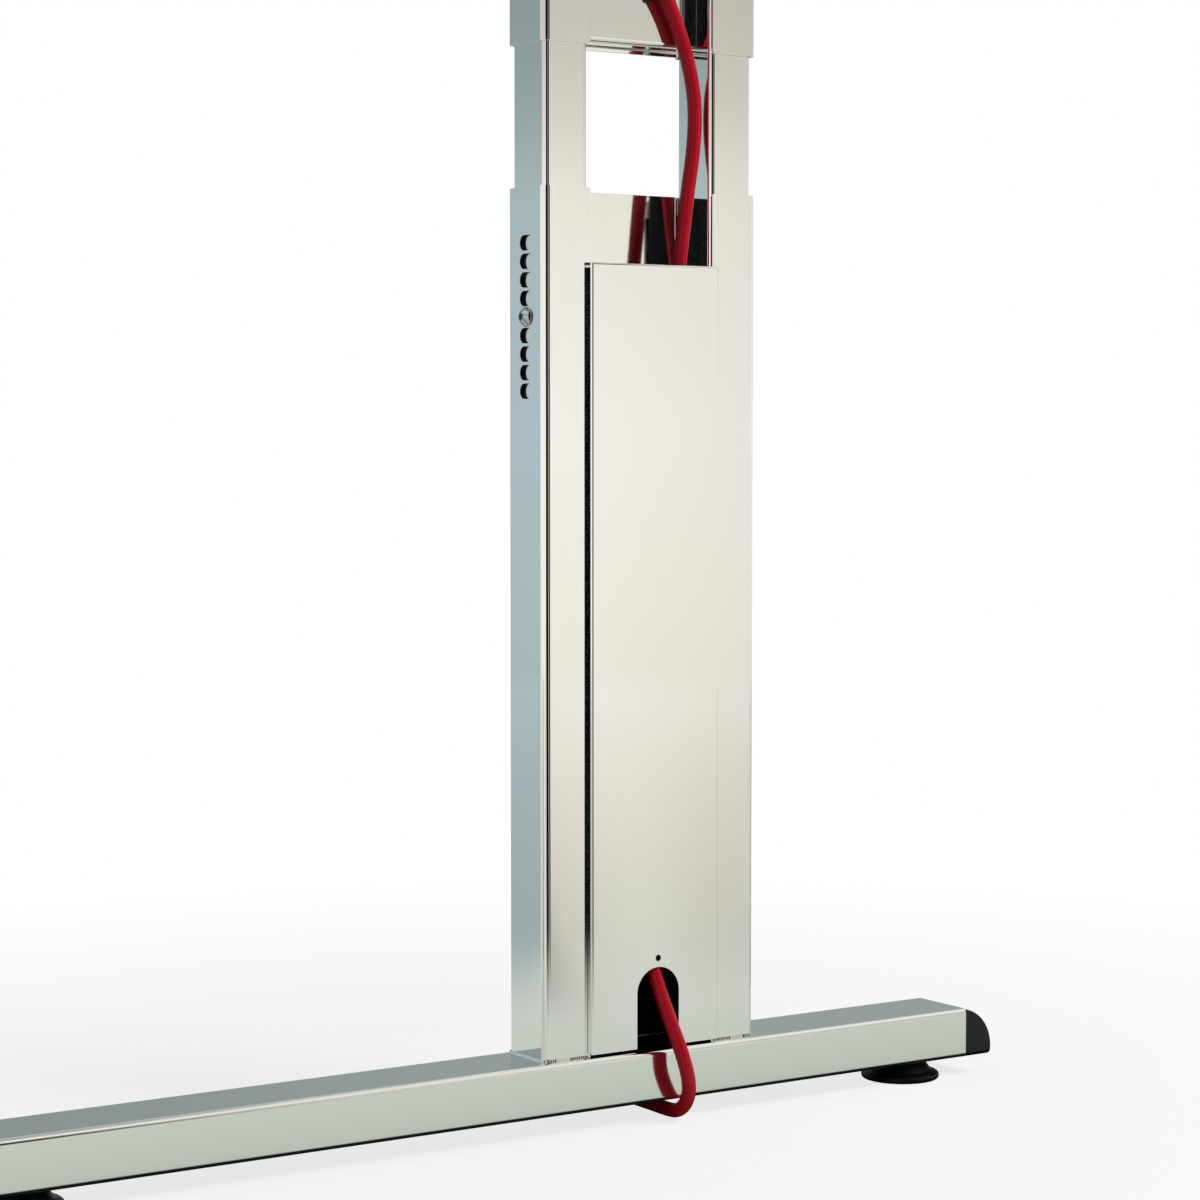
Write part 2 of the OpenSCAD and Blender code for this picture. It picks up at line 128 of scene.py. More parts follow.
def runTree(name, tree, sizes, start=None):
    # runs a node tree with these sizes and keeps its result as a plain mesh
    holder = linkMesh(name + "_holder", start or bpy.data.meshes.new(name + "_start"))
    modifier = holder.modifiers.new("shape", "NODES")
    modifier.node_group = tree
    for item in tree.interface.items_tree:
        if item.item_type == "SOCKET" and item.in_out == "INPUT" and item.name in sizes:
            modifier[item.identifier] = sizes[item.name]
    holder.update_tag()
    graph = bpy.context.evaluated_depsgraph_get()
    mesh = bpy.data.meshes.new_from_object(holder.evaluated_get(graph))
    mesh.name = name
    bpy.data.objects.remove(holder)
    return linkMesh(name, mesh)


def newTree(name, sockets):
    # a geometry tree with a named input for each size
    tree = bpy.data.node_groups.new(name, "GeometryNodeTree")
    tree.interface.new_socket("Geometry", in_out="INPUT", socket_type="NodeSocketGeometry")
    for label, value in sockets.items():
        if isinstance(value, bpy.types.Material):
            kind = "NodeSocketMaterial"
        elif isinstance(value, tuple):
            kind = "NodeSocketVector"
        elif isinstance(value, int):
            kind = "NodeSocketInt"
        else:
            kind = "NodeSocketFloat"
        item = tree.interface.new_socket(label, in_out="INPUT", socket_type=kind)
        item.default_value = value
    tree.interface.new_socket("Geometry", in_out="OUTPUT", socket_type="NodeSocketGeometry")
    return tree


def closeTree(tree, result, material):
    # every tree ends the same way, with real geometry that carries its material
    real = addNode(tree, "GeometryNodeRealizeInstances", {"Geometry": result})
    dressed = addNode(tree, "GeometryNodeSetMaterial",
                      {"Geometry": real.outputs[0], "Material": material})
    addNode(tree, "NodeGroupOutput", {"Geometry": dressed.outputs[0]})
    return tree


def softenEdges(piece, width, steps=2, angle=35):
    # real edges are never knife sharp; the rounding is narrow and catches a thin light
    for face in piece.data.polygons:
        face.use_smooth = True
    bevel = piece.modifiers.new("edge rounding", "BEVEL")
    bevel.width = width * mm
    bevel.segments = steps
    bevel.limit_method = "ANGLE"
    bevel.angle_limit = math.radians(angle)
    bevel.use_clamp_overlap = True
    bevel.harden_normals = False
    flat = piece.modifiers.new("flat faces stay flat", "WEIGHTED_NORMAL")
    flat.keep_sharp = False
    flat.weight = 60
    return piece


def applyModifiers(piece):
    graph = bpy.context.evaluated_depsgraph_get()
    mesh = bpy.data.meshes.new_from_object(piece.evaluated_get(graph))
    piece.modifiers.clear()
    piece.data = mesh
    return piece


def mergedCopy(node, name):
    # a clean working copy of a CAD node, with its loose triangles joined into faces
    mesh = frame["nodes"][node].data.copy()
    mesh.name = name
    shape = bmesh.new()
    shape.from_mesh(mesh)
    bmesh.ops.remove_doubles(shape, verts=shape.verts, dist=0.004 * mm)
    bmesh.ops.dissolve_limit(shape, angle_limit=math.radians(0.6),
                             verts=shape.verts, edges=shape.edges)
    shape.to_mesh(mesh)
    shape.free()
    mesh.materials.clear()
    return linkMesh(name, mesh)


def dress(piece, material):
    piece.data.materials.clear()
    piece.data.materials.append(material)
    return piece


def place(piece, body, stands, slotName):
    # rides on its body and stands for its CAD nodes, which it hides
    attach(piece, body)
    if stands:
        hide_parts(*stands)
    return piece


def startMaterial(name):
    material = bpy.data.materials.new(name)
    material.use_nodes = True
    tree = material.node_tree
    tree.nodes.clear()
    return material, tree


def endMaterial(tree, surface):
    addNode(tree, "ShaderNodeOutputMaterial", {"Surface": surface})


def boxMask(tree, where, low, high):
    # 1 inside a box given in millimetres, 0 outside it
    parts = addNode(tree, "ShaderNodeSeparateXYZ", {0: where})
    mask = None
    for axis in range(3):
        inside = addNode(tree, "ShaderNodeMath", {
            0: parts.outputs[axis],
            1: (low[axis] + high[axis]) / 2 * mm,
            2: (high[axis] - low[axis]) / 2 * mm,
        }, operation="COMPARE").outputs[0]
        if mask is not None:
            inside = addNode(tree, "ShaderNodeMath", {0: mask, 1: inside},
                             operation="MULTIPLY").outputs[0]
        mask = inside
    return mask


def eitherMask(tree, first, second):
    return addNode(tree, "ShaderNodeMath", {0: first, 1: second},
                   operation="MAXIMUM").outputs[0]


nickelFinish = {
    "tints": ("#F4F3F0", "#F1F1ED"),
    "paintedShade": "#2B2C2D",        # painted shade: dark, dull steel inside the column, where its hollows lie in shade
    "rough": (0.055, 0.10),
    "ductInside": ((49.3, -18.8, 40), (130.7, 18.7, 463)),
    "leftInside": ((20.8, -13.7, 40), (49.45, 20.7, 505)),
    "rightInside": ((130.55, -13.7, 40), (159.2, 20.7, 505)),
    "slotsLeft": ((19.53, -6, 395), (21.3, 11, 496)),
    "slotsRight": ((158.7, -6, 395), (160.47, 11, 496)),
}


def polishedNickelSteel(name, withPaintedShade):
    # nickel plate, polished: a near mirror, a little warm, that softens what it shows;
    # buffing leaves slow hills in the surface, cloudy tints and fine wiping marks
    material, tree = startMaterial(name)
    where = addNode(tree, "ShaderNodeTexCoord").outputs["Object"]
    clouds = addNode(tree, "ShaderNodeTexNoise", {
        "Vector": where,
        "Scale": 14.0,                         # patches about 70 mm across
        "Detail": 2.0,
    })
    tint = addNode(tree, "ShaderNodeMix", {
        "Factor": clouds.outputs["Fac"],
        "A": colour(nickelFinish["tints"][0]),
        "B": colour(nickelFinish["tints"][1]),
    }, data_type="RGBA")
    stretched = addNode(tree, "ShaderNodeMapping", {
        "Vector": where,
        "Scale": (1.0, 1.0, 0.06),             # wiped along the height of the column
    })
    wipes = addNode(tree, "ShaderNodeTexNoise", {
        "Vector": stretched.outputs[0],
        "Scale": 420.0,                        # marks 2 mm wide; real ones are finer
        "Detail": 4.0,
    })
    rough = addNode(tree, "ShaderNodeMapRange", {
        "Value": wipes.outputs["Fac"],
        "From Min": 0.35,
        "From Max": 0.75,
        "To Min": nickelFinish["rough"][0],
        "To Max": nickelFinish["rough"][1],
    })
    hills = addNode(tree, "ShaderNodeTexNoise", {
        "Vector": where,
        "Scale": 9.0,
        "Detail": 1.0,
    })
    bump = addNode(tree, "ShaderNodeBump", {
        "Height": hills.outputs["Fac"],
        "Strength": 0.35,
        "Distance": 0.4 * mm,
    })
    plated = addNode(tree, "ShaderNodeBsdfPrincipled", {
        "Base Color": tint.outputs["Result"],
        "Metallic": 1.0,
        "Roughness": rough.outputs[0],
        "Normal": bump.outputs[0],
    })
    if not withPaintedShade:
        endMaterial(tree, plated.outputs[0])
        return material
    # painted shade: inside the duct, on the sections' inner walls and in the slots, the plate turns
    # to a dark, dull steel that stands in for the shade there
    paintedShade = addNode(tree, "ShaderNodeBsdfPrincipled", {
        "Base Color": colour(nickelFinish["paintedShade"]),
        "Metallic": 1.0,
        "Roughness": 0.5,
    })
    mask = boxMask(tree, where, *nickelFinish["ductInside"])
    for area in ("leftInside", "rightInside", "slotsLeft", "slotsRight"):
        mask = eitherMask(tree, mask, boxMask(tree, where, *nickelFinish[area]))
    both = addNode(tree, "ShaderNodeMixShader", {0: mask, 1: plated.outputs[0], 2: paintedShade.outputs[0]})
    endMaterial(tree, both.outputs[0])
    return material


def rolledSteel(name, code, roughLow, roughHigh, grain):
    # plain plated steel that was never buffed: greyer, with a fine even grain
    material, tree = startMaterial(name)
    where = addNode(tree, "ShaderNodeTexCoord").outputs["Object"]
    specks = addNode(tree, "ShaderNodeTexNoise", {
        "Vector": where,
        "Scale": grain,
        "Detail": 5.0,
    })
    rough = addNode(tree, "ShaderNodeMapRange", {
        "Value": specks.outputs["Fac"],
        "From Min": 0.3,
        "From Max": 0.7,
        "To Min": roughLow,
        "To Max": roughHigh,
    })
    shader = addNode(tree, "ShaderNodeBsdfPrincipled", {
        "Base Color": colour(code),
        "Metallic": 1.0,
        "Roughness": rough.outputs[0],
    })
    endMaterial(tree, shader.outputs[0])
    return material


def mouldedPlastic(name, code, roughLow, roughHigh, gloss):
    # black polypropylene from an eroded mould: a satin pebble that greys where it is rubbed
    material, tree = startMaterial(name)
    where = addNode(tree, "ShaderNodeTexCoord").outputs["Object"]
    pebble = addNode(tree, "ShaderNodeTexNoise", {
        "Vector": where,
        "Scale": 1100.0,                       # grain about 0.9 mm, real ones are half that
        "Detail": 2.0,
    })
    rubbed = addNode(tree, "ShaderNodeTexNoise", {
        "Vector": where,
        "Scale": 60.0,
        "Detail": 4.0,
    })
    rough = addNode(tree, "ShaderNodeMapRange", {
        "Value": rubbed.outputs["Fac"],
        "From Min": 0.35,
        "From Max": 0.7,
        "To Min": roughLow,
        "To Max": roughHigh,
    })
    bump = addNode(tree, "ShaderNodeBump", {
        "Height": pebble.outputs["Fac"],
        "Strength": 0.3,
        "Distance": 0.08 * mm,
    })
    shader = addNode(tree, "ShaderNodeBsdfPrincipled", {
        "Base Color": colour(code),
        "Roughness": rough.outputs[0],
        "Specular IOR Level": gloss,
        "Normal": bump.outputs[0],
    })
    endMaterial(tree, shader.outputs[0])
    return material


def cableJacket():
    # soft PVC, extruded: deep red, glossy, with a slight ripple along the run
    material, tree = startMaterial("pvc_cable_jacket")
    where = addNode(tree, "ShaderNodeTexCoord").outputs["Object"]
    ripple = addNode(tree, "ShaderNodeTexNoise", {
        "Vector": where,
        "Scale": 220.0,
        "Detail": 2.0,
    })
    dust = addNode(tree, "ShaderNodeTexNoise", {
        "Vector": where,
        "Scale": 90.0,
        "Detail": 3.0,
    })
    tint = addNode(tree, "ShaderNodeMix", {
        "Factor": dust.outputs["Fac"],
        "A": colour("#BC0A20"),
        "B": colour("#AC0C22"),
    }, data_type="RGBA")
    bump = addNode(tree, "ShaderNodeBump", {
        "Height": ripple.outputs["Fac"],
        "Strength": 0.25,
        "Distance": 0.1 * mm,
    })
    shader = addNode(tree, "ShaderNodeBsdfPrincipled", {
        "Base Color": tint.outputs["Result"],
        "Roughness": 0.3,
        "Specular IOR Level": 0.22,
        "Normal": bump.outputs[0],
    })
    endMaterial(tree, shader.outputs[0])
    return material


nickel = polishedNickelSteel("polished_nickel_steel", False)
columnNickel = polishedNickelSteel("polished_nickel_painted_shade_inside", True)
innerSteel = rolledSteel("rolled_inner_steel", "#C9CBC6", 0.12, 0.20, 60.0)
brightZinc = rolledSteel("bright_zinc", "#C4C8CC", 0.18, 0.30, 300.0)
screwSteel = rolledSteel("polished_screw_steel", "#B4B8BC", 0.05, 0.10, 300.0)
weldSteel = rolledSteel("plated_weld", "#D9DAD4", 0.10, 0.22, 700.0)
capPlastic = mouldedPlastic("moulded_pp_black", "#090B0D", 0.34, 0.50, 0.4)
padPlastic = mouldedPlastic("moulded_pad_black", "#070808", 0.40, 0.55, 0.3)
plugPlastic = mouldedPlastic("moulded_pvc_black", "#0D0E10", 0.30, 0.42, 0.4)
jacket = cableJacket()
print("materials mixed")


cable = {
    "diameter": 8.0,
    "sides": 20,
    "step": 3,                # rings between two route points
    "drop": [
        (97, -7, 645.6), (97.3, -7, 639), (100, -6.5, 631), (105.5, -6, 622), (112, -5, 610),
        (119, -5, 593), (124, -5, 574), (125.5, -5, 556), (124, -5, 536), (120.5, -5, 514),
        (116, -4, 477), (109, -3, 420), (101, -2, 350), (94, -2, 270), (89, -3, 200),
        (87.5, -6, 150), (88.5, -8.5, 118), (91.6, -13.2, 88), (93, -19.5, 72), (95.2, -26.5, 56),
        (97.6, -33, 41), (99.8, -35.8, 28.5), (101.8, -34.2, 19), (103.2, -29, 11.2),
        (104.2, -21.2, 6), (104.8, -12, 4.2), (105.3, 10, 4.2), (105.8, 30, 4.2),
        (106, 50, 4.2),
    ],
    "coilMiddle": (62, 72),
    "coilRadius": 40,         # 10 diameters across at the middle of the turns
    "lowest": 4.2,            # middle of the turns that lie on the floor
    "pointsPerTurn": 24,
    "lastAngle": 3 * 360 + 270,   # it leaves the coil where it heads along +X
    "swingFrom": 245,         # degrees round each turn where it swings to the next corner
    "swingOver": 105,
    "tail": [
        (74, 27.8, 12.3), (86, 28, 12.4), (97, 28.4, 12.5), (108, 29.4, 12.4),
        (121, 31.2, 10), (133, 33.9, 7.9), (144.5, 37, 8.6), (156, 40, 10),
    ],
    "tieAngle": 180,          # where round the coil the tie sits
    "tieLift": 1.5,           # its strap passes under the coil there
    "tieSpread": 75,          # degrees over which the coil rises to the tie
}


def ease(share):
    share = min(max(share, 0.0), 1.0)
    return share * share * (3 - 2 * share)


def coilPoints():
    # four turns lie two beside two; late in each turn the cable swings on to the next
    # corner of their square, so they stay one diameter apart and the lowest on the floor
    reach = cable["diameter"] / math.sqrt(2)
    level = cable["lowest"] + cable["diameter"] / 2
    found = []
    for step in range(int(cable["lastAngle"] * cable["pointsPerTurn"] / 360)):
        angle = step * 360 / cable["pointsPerTurn"]
        turn, part = divmod(angle, 360)
        change = ease((part - cable["swingFrom"]) / cable["swingOver"])
        swing = math.radians(-45 - 90 * (turn + change))
        radius = cable["coilRadius"] + reach * math.cos(swing)
        height = level + reach * math.sin(swing)
        height += reach * (math.sin(math.radians(45 + 90 * change)) - math.sin(math.radians(45)))
        away = abs(part - cable["tieAngle"])
        height += cable["tieLift"] * ease(1 - away / cable["tieSpread"])
        x = cable["coilMiddle"][0] + radius * math.cos(math.radians(angle))
        y = cable["coilMiddle"][1] + radius * math.sin(math.radians(angle))
        found.append((x, y, height))
    return found


def smoothRoute(points, step):
    # the smooth curve through the route points, as the centres of the cable's rings
    centres = []
    for i in range(len(points) - 1):
        a = Vector(points[max(i - 1, 0)])
        b = Vector(points[i])
        c = Vector(points[i + 1])
        d = Vector(points[min(i + 2, len(points) - 1)])
        for n in range(step):
            t = n / step
            centres.append(0.5 * (
                2 * b
                + (c - a) * t
                + (2 * a - 5 * b + 4 * c - d) * t * t
                + (3 * b - 3 * c + d - a) * t * t * t
            ))
    centres.append(Vector(points[-1]))
    return [c * mm for c in centres]


def cableTree():
    tree = newTree("cable along its route", {"Diameter": 0.008, "Sides": 20, "Jacket": jacket})
    given = addNode(tree, "NodeGroupInput")
    route = addNode(tree, "GeometryNodeMeshToCurve", {"Mesh": given.outputs["Geometry"]})
    radius = addNode(tree, "ShaderNodeMath", {0: given.outputs["Diameter"], 1: 0.5},
                     operation="MULTIPLY")
    ring = addNode(tree, "GeometryNodeCurvePrimitiveCircle", {
        "Resolution": given.outputs["Sides"],
        "Radius": radius.outputs[0],
    })
    swept = addNode(tree, "GeometryNodeCurveToMesh", {
        "Curve": route.outputs[0],
        "Profile Curve": ring.outputs[0],
        "Fill Caps": True,
    })
    smooth = addNode(tree, "GeometryNodeSetShadeSmooth", {"Geometry": swept.outputs[0]})
    return closeTree(tree, smooth.outputs[0], given.outputs["Jacket"])


def makeCable():
    corners = cable["drop"] + coilPoints() + cable["tail"]
    centres = smoothRoute(corners, cable["step"])
    sizes = {
        "Diameter": cable["diameter"] * mm,
        "Sides": cable["sides"],
        "Jacket": jacket,
    }
    piece = runTree("cable", cableTree(), sizes, lineMesh("cable_route", centres))
    length = sum((b - a).length for a, b in zip(centres, centres[1:]))
    print(f"cable is {length:.3f} m long")
    return piece, centres, length


cablePiece, cableCentres, cableLength = makeCable()
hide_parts("cable_upper_run", "cable_lower_run", "cable_coil", "cable_tail")


def rippledRunTree():
    # a round bar along a line, whose thickness tapers and ripples: weld beads and cable boots
    tree = newTree("rippled run", {
        "Start Radius": 0.001,
        "End Radius": 0.001,
        "Ripple Depth": 0.0002,
        "Ripple Length": 0.0015,
        "Unevenness": 0.0,
        "Step": 0.0003,
        "Sides": 10,
        "Seed": 0.0,
        "Finish": plugPlastic,
    })
    given = addNode(tree, "NodeGroupInput")
    line = addNode(tree, "GeometryNodeMeshToCurve", {"Mesh": given.outputs["Geometry"]})
    even = addNode(tree, "GeometryNodeResampleCurve", {
        "Curve": line.outputs[0],
        "Length": given.outputs["Step"],
    }, mode="LENGTH")
    along = addNode(tree, "GeometryNodeSplineParameter")
    taper = addNode(tree, "ShaderNodeMapRange", {
        "Value": along.outputs["Factor"],
        "To Min": given.outputs["Start Radius"],
        "To Max": given.outputs["End Radius"],
    })
    turns = addNode(tree, "ShaderNodeMath", {
        0: along.outputs["Length"],
        1: given.outputs["Ripple Length"],
    }, operation="DIVIDE")
    phase = addNode(tree, "ShaderNodeMath", {0: turns.outputs[0], 1: 2 * math.pi},
                    operation="MULTIPLY")
    wave = addNode(tree, "ShaderNodeMath", {0: phase.outputs[0]}, operation="COSINE")
    ripple = addNode(tree, "ShaderNodeMath", {
        0: wave.outputs[0],
        1: given.outputs["Ripple Depth"],
        2: taper.outputs[0],
    }, operation="MULTIPLY_ADD")
    lumps = addNode(tree, "ShaderNodeTexNoise", {
        "W": turns.outputs[0],
        "Scale": 1.0,
        "Detail": 1.0,
        "Vector": addNode(tree, "ShaderNodeCombineXYZ", {"X": given.outputs["Seed"]}).outputs[0],
    }, noise_dimensions="4D")
    centred = addNode(tree, "ShaderNodeMath", {0: lumps.outputs[0], 1: 0.5},
                      operation="SUBTRACT")
    radius = addNode(tree, "ShaderNodeMath", {
        0: centred.outputs[0],
        1: given.outputs["Unevenness"],
        2: ripple.outputs[0],
    }, operation="MULTIPLY_ADD")
    ring = addNode(tree, "GeometryNodeCurvePrimitiveCircle", {
        "Resolution": given.outputs["Sides"],
        "Radius": 1.0,
    })
    run = addNode(tree, "GeometryNodeCurveToMesh", {
        "Curve": even.outputs[0],
        "Profile Curve": ring.outputs[0],
        "Scale": radius.outputs[0],
        "Fill Caps": True,
    })
    smooth = addNode(tree, "GeometryNodeSetShadeSmooth", {"Geometry": run.outputs[0]})
    return closeTree(tree, smooth.outputs[0], given.outputs["Finish"])


runWithRipples = rippledRunTree()

boot = {
    "length": 24.0,           # tapered strain relief on each end of the cable
    "wide": 6.3,              # radius at the housing
    "narrow": 4.7,
    "rib": 0.35,
    "ribPitch": 3.0,
}


def makeBoot(name, centres, body):
    # follows the cable out of the housing for the boot's length
    run = [centres[0]]
    done = 0.0
    for a, b in zip(centres, centres[1:]):
        done += (b - a).length
        run.append(b)
        if done > boot["length"] * mm:
            break
    piece = runTree(name, runWithRipples, {
        "Start Radius": boot["wide"] * mm,
        "End Radius": boot["narrow"] * mm,
        "Ripple Depth": boot["rib"] * mm,
        "Ripple Length": boot["ribPitch"] * mm,
        "Step": 0.25 * mm,
        "Sides": 28,
        "Finish": plugPlastic,
    }, lineMesh(name + "_line", run))
    return place(piece, body, [], "black_plastic")


socketBoot = makeBoot("socket_boot", cableCentres, "lifting_head")
plugBoot = makeBoot("plug_boot", list(reversed(cableCentres)), "base")
print("cable and its boots made")


slotSockets = {
    "Slot Count": 0,
    "Slot Pitch": 0.01,
    "Slot Height": 0.0084,
    "Slot Width": 0.0135,
    "Slot Corner": 0.0042,
    "First Slot": 0.0,
    "Slot Side": 0.0,
    "Slot Middle": 0.0,
}


def punchSlots(tree, given, wall):
    # cuts a row of round-ended slots, one above the other, through one side of the wall
    outline = addNode(tree, "GeometryNodeCurvePrimitiveQuadrilateral", {
        "Width": given.outputs["Slot Width"],
        "Height": given.outputs["Slot Height"],
    })
    rounded = addNode(tree, "GeometryNodeFilletCurve", {
        "Curve": outline.outputs[0],
        "Count": 10,
        "Radius": given.outputs["Slot Corner"],
    }, mode="POLY")
    stroke = addNode(tree, "GeometryNodeCurvePrimitiveLine", {
        "Start": (-0.004, 0, 0),
        "End": (0.004, 0, 0),
    })
    bar = addNode(tree, "GeometryNodeCurveToMesh", {
        "Curve": stroke.outputs[0],
        "Profile Curve": rounded.outputs[0],
        "Fill Caps": True,
    })
    first = addNode(tree, "ShaderNodeCombineXYZ", {
        "X": given.outputs["Slot Side"],
        "Y": given.outputs["Slot Middle"],
        "Z": given.outputs["First Slot"],
    })
    step = addNode(tree, "ShaderNodeCombineXYZ", {"Z": given.outputs["Slot Pitch"]})
    row = addNode(tree, "GeometryNodeMeshLine", {
        "Count": given.outputs["Slot Count"],
        "Start Location": first.outputs[0],
        "Offset": step.outputs[0],
    })
    bars = addNode(tree, "GeometryNodeInstanceOnPoints", {
        "Points": row.outputs[0],
        "Instance": bar.outputs[0],
    })
    solid = addNode(tree, "GeometryNodeRealizeInstances", {"Geometry": bars.outputs[0]})
    punched = addNode(tree, "GeometryNodeMeshBoolean", {
        "Mesh 1": wall,
        "Mesh 2": solid.outputs[0],
    }, operation="DIFFERENCE")
    slotted = addNode(tree, "FunctionNodeCompare", {
        "A": given.outputs["Slot Count"],
        "B": 0,
    }, data_type="INT", operation="GREATER_THAN")
    return addNode(tree, "GeometryNodeSwitch", {
        "Switch": slotted.outputs[0],
        "False": wall,
        "True": punched.outputs[0],
    }, input_type="GEOMETRY").outputs[0]


def slotSizes(slots, x, y, floor):
    # slot sizes for a tree's inputs; x, y and floor are in metres
    return {
        "Slot Count": slots["count"],
        "Slot Pitch": slots["pitch"] * mm,
        "Slot Height": slots["height"] * mm,
        "Slot Width": slots["width"] * mm,
        "Slot Corner": slots["corner"] * mm,
        "First Slot": slots["first"] * mm - floor,
        "Slot Side": x,
        "Slot Middle": slots["middle"] * mm - y,
    }


def closedTubeTree():
    # a rectangular tube: its wall's section carried once round a rounded outline
    tree = newTree("closed tube", {
        "Width": 0.03,
        "Depth": 0.035,
        "Wall": 0.0015,
        "Corner": 0.0025,
        "Corner Steps": 8,
        "Length": 0.1,
        "Place": (0.0, 0.0, 0.0),
        "Turn": (0.0, 0.0, 0.0),
        "Finish": nickel,
    })
    given = addNode(tree, "NodeGroupInput")
    middle = {
        size: addNode(tree, "ShaderNodeMath", {
            0: given.outputs[size],
            1: given.outputs["Wall"],
        }, operation="SUBTRACT").outputs[0]
        for size in ("Width", "Depth")
    }
    halfWall = addNode(tree, "ShaderNodeMath", {0: given.outputs["Wall"], 1: 0.5},
                       operation="MULTIPLY")
    middleCorner = addNode(tree, "ShaderNodeMath", {
        0: given.outputs["Corner"],
        1: halfWall.outputs[0],
    }, operation="SUBTRACT")
    outline = addNode(tree, "GeometryNodeCurvePrimitiveQuadrilateral", {
        "Width": middle["Width"],
        "Height": middle["Depth"],
    })
    path = addNode(tree, "GeometryNodeFilletCurve", {
        "Curve": outline.outputs[0],
        "Count": given.outputs["Corner Steps"],
        "Radius": middleCorner.outputs[0],
    }, mode="POLY")
    wall = addNode(tree, "GeometryNodeCurvePrimitiveQuadrilateral", {
        "Width": given.outputs["Wall"],
        "Height": given.outputs["Length"],
    })
    tube = addNode(tree, "GeometryNodeCurveToMesh", {
        "Curve": path.outputs[0],
        "Profile Curve": wall.outputs[0],
    })
    half = addNode(tree, "ShaderNodeMath", {0: given.outputs["Length"], 1: 0.5},
                   operation="MULTIPLY")
    lift = addNode(tree, "ShaderNodeCombineXYZ", {"Z": half.outputs[0]})
    standing = addNode(tree, "GeometryNodeTransform", {
        "Geometry": tube.outputs[0],
        "Translation": lift.outputs[0],
    })
    placed = addNode(tree, "GeometryNodeTransform", {
        "Geometry": standing.outputs[0],
        "Translation": given.outputs["Place"],
        "Rotation": given.outputs["Turn"],
    })
    return closeTree(tree, placed.outputs[0], given.outputs["Finish"])


tubeTree = closedTubeTree()


def openSectionTree():
    # a sheet bent to three sides of a tube; a rounded block trims its free edges' corners
    tree = newTree("open section", {
        "Wall": 0.0015,
        "Corner": 0.004,
        "Corner Steps": 12,
        "Length": 0.1,
        "Block Width": 0.04,
        "Block Height": 0.5,
        "Block Middle": (0.0, 0.0, 0.0),
        "Free Corner": 0.002,
        "Finish": nickel,
        **slotSockets,
    })
    given = addNode(tree, "NodeGroupInput")
    line = addNode(tree, "GeometryNodeMeshToCurve", {"Mesh": given.outputs["Geometry"]})
    bendRadius = addNode(tree, "ShaderNodeMath", {
        0: given.outputs["Wall"],
        1: -0.5,
        2: given.outputs["Corner"],
    }, operation="MULTIPLY_ADD")
    path = addNode(tree, "GeometryNodeFilletCurve", {
        "Curve": line.outputs[0],
        "Count": given.outputs["Corner Steps"],
        "Radius": bendRadius.outputs[0],
    }, mode="POLY")
    edge = addNode(tree, "GeometryNodeCurvePrimitiveQuadrilateral", {
        "Width": given.outputs["Wall"],
        "Height": given.outputs["Length"],
    })
    sheet = addNode(tree, "GeometryNodeCurveToMesh", {
        "Curve": path.outputs[0],
        "Profile Curve": edge.outputs[0],
        "Fill Caps": True,
    })
    outline = addNode(tree, "GeometryNodeCurvePrimitiveQuadrilateral", {
        "Width": given.outputs["Block Width"],
        "Height": given.outputs["Block Height"],
    })
    rounded = addNode(tree, "GeometryNodeFilletCurve", {
        "Curve": outline.outputs[0],
        "Count": 8,
        "Radius": given.outputs["Free Corner"],
    }, mode="POLY")
    stroke = addNode(tree, "GeometryNodeCurvePrimitiveLine", {
        "Start": (-0.03, 0, 0),
        "End": (0.03, 0, 0),
    })
    block = addNode(tree, "GeometryNodeCurveToMesh", {
        "Curve": stroke.outputs[0],
        "Profile Curve": rounded.outputs[0],
        "Fill Caps": True,
    })
    across = addNode(tree, "GeometryNodeTransform", {
        "Geometry": block.outputs[0],
        "Rotation": (0.0, 0.0, math.radians(90)),
        "Translation": given.outputs["Block Middle"],
    })
    trimmed = addNode(tree, "GeometryNodeMeshBoolean", {
        "Mesh 2": sheet.outputs[0],
    }, operation="INTERSECT")
    tree.links.new(across.outputs[0], trimmed.inputs["Mesh 2"])
    slotted = punchSlots(tree, given, trimmed.outputs[0])
    return closeTree(tree, slotted, given.outputs["Finish"])


openTree = openSectionTree()


def openSection(node, name, body, settings, roundEnd, slots=None):
    low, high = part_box(node)
    half = settings["wall"] * mm / 2
    left = (low.x + high.x) / 2 < columnMiddle * mm
    facing = 1 if left else -1                  # towards the duct
    outer, free = (low.x, high.x) if left else (high.x, low.x)
    beyond = 1 * mm
    bottom = low.z - (beyond if roundEnd == "bottom" else 0)
    top = high.z + (beyond if roundEnd == "top" else 0)
    level = (bottom + top) / 2
    line = [
        (free + facing * beyond, low.y + half, level),
        (outer + facing * half, low.y + half, level),
        (outer + facing * half, high.y - half, level),
        (free + facing * beyond, high.y - half, level),
    ]
    blockWidth = 0.04
    spare = 0.02
    blockLow = low.z - (0 if roundEnd == "bottom" else spare)
    blockHigh = high.z + (0 if roundEnd == "top" else spare)
    sizes = {
        "Wall": settings["wall"] * mm,
        "Corner": settings["corner"] * mm,
        "Corner Steps": settings["cornerSteps"],
        "Length": top - bottom,
        "Block Width": blockWidth,
        "Block Height": blockHigh - blockLow,
        "Block Middle": (
            free - facing * blockWidth / 2,
            (low.y + high.y) / 2,
            (blockLow + blockHigh) / 2,
        ),
        "Free Corner": settings["freeCorner"] * mm,
        "Finish": columnNickel,
    }
    if slots:
        sizes.update(slotSizes(slots, outer, 0, 0))
    piece = runTree(name, openTree, sizes, lineMesh(name + "_line", line))
    softenEdges(piece, settings["edge"])
    return place(piece, body, [node], "polished_steel")


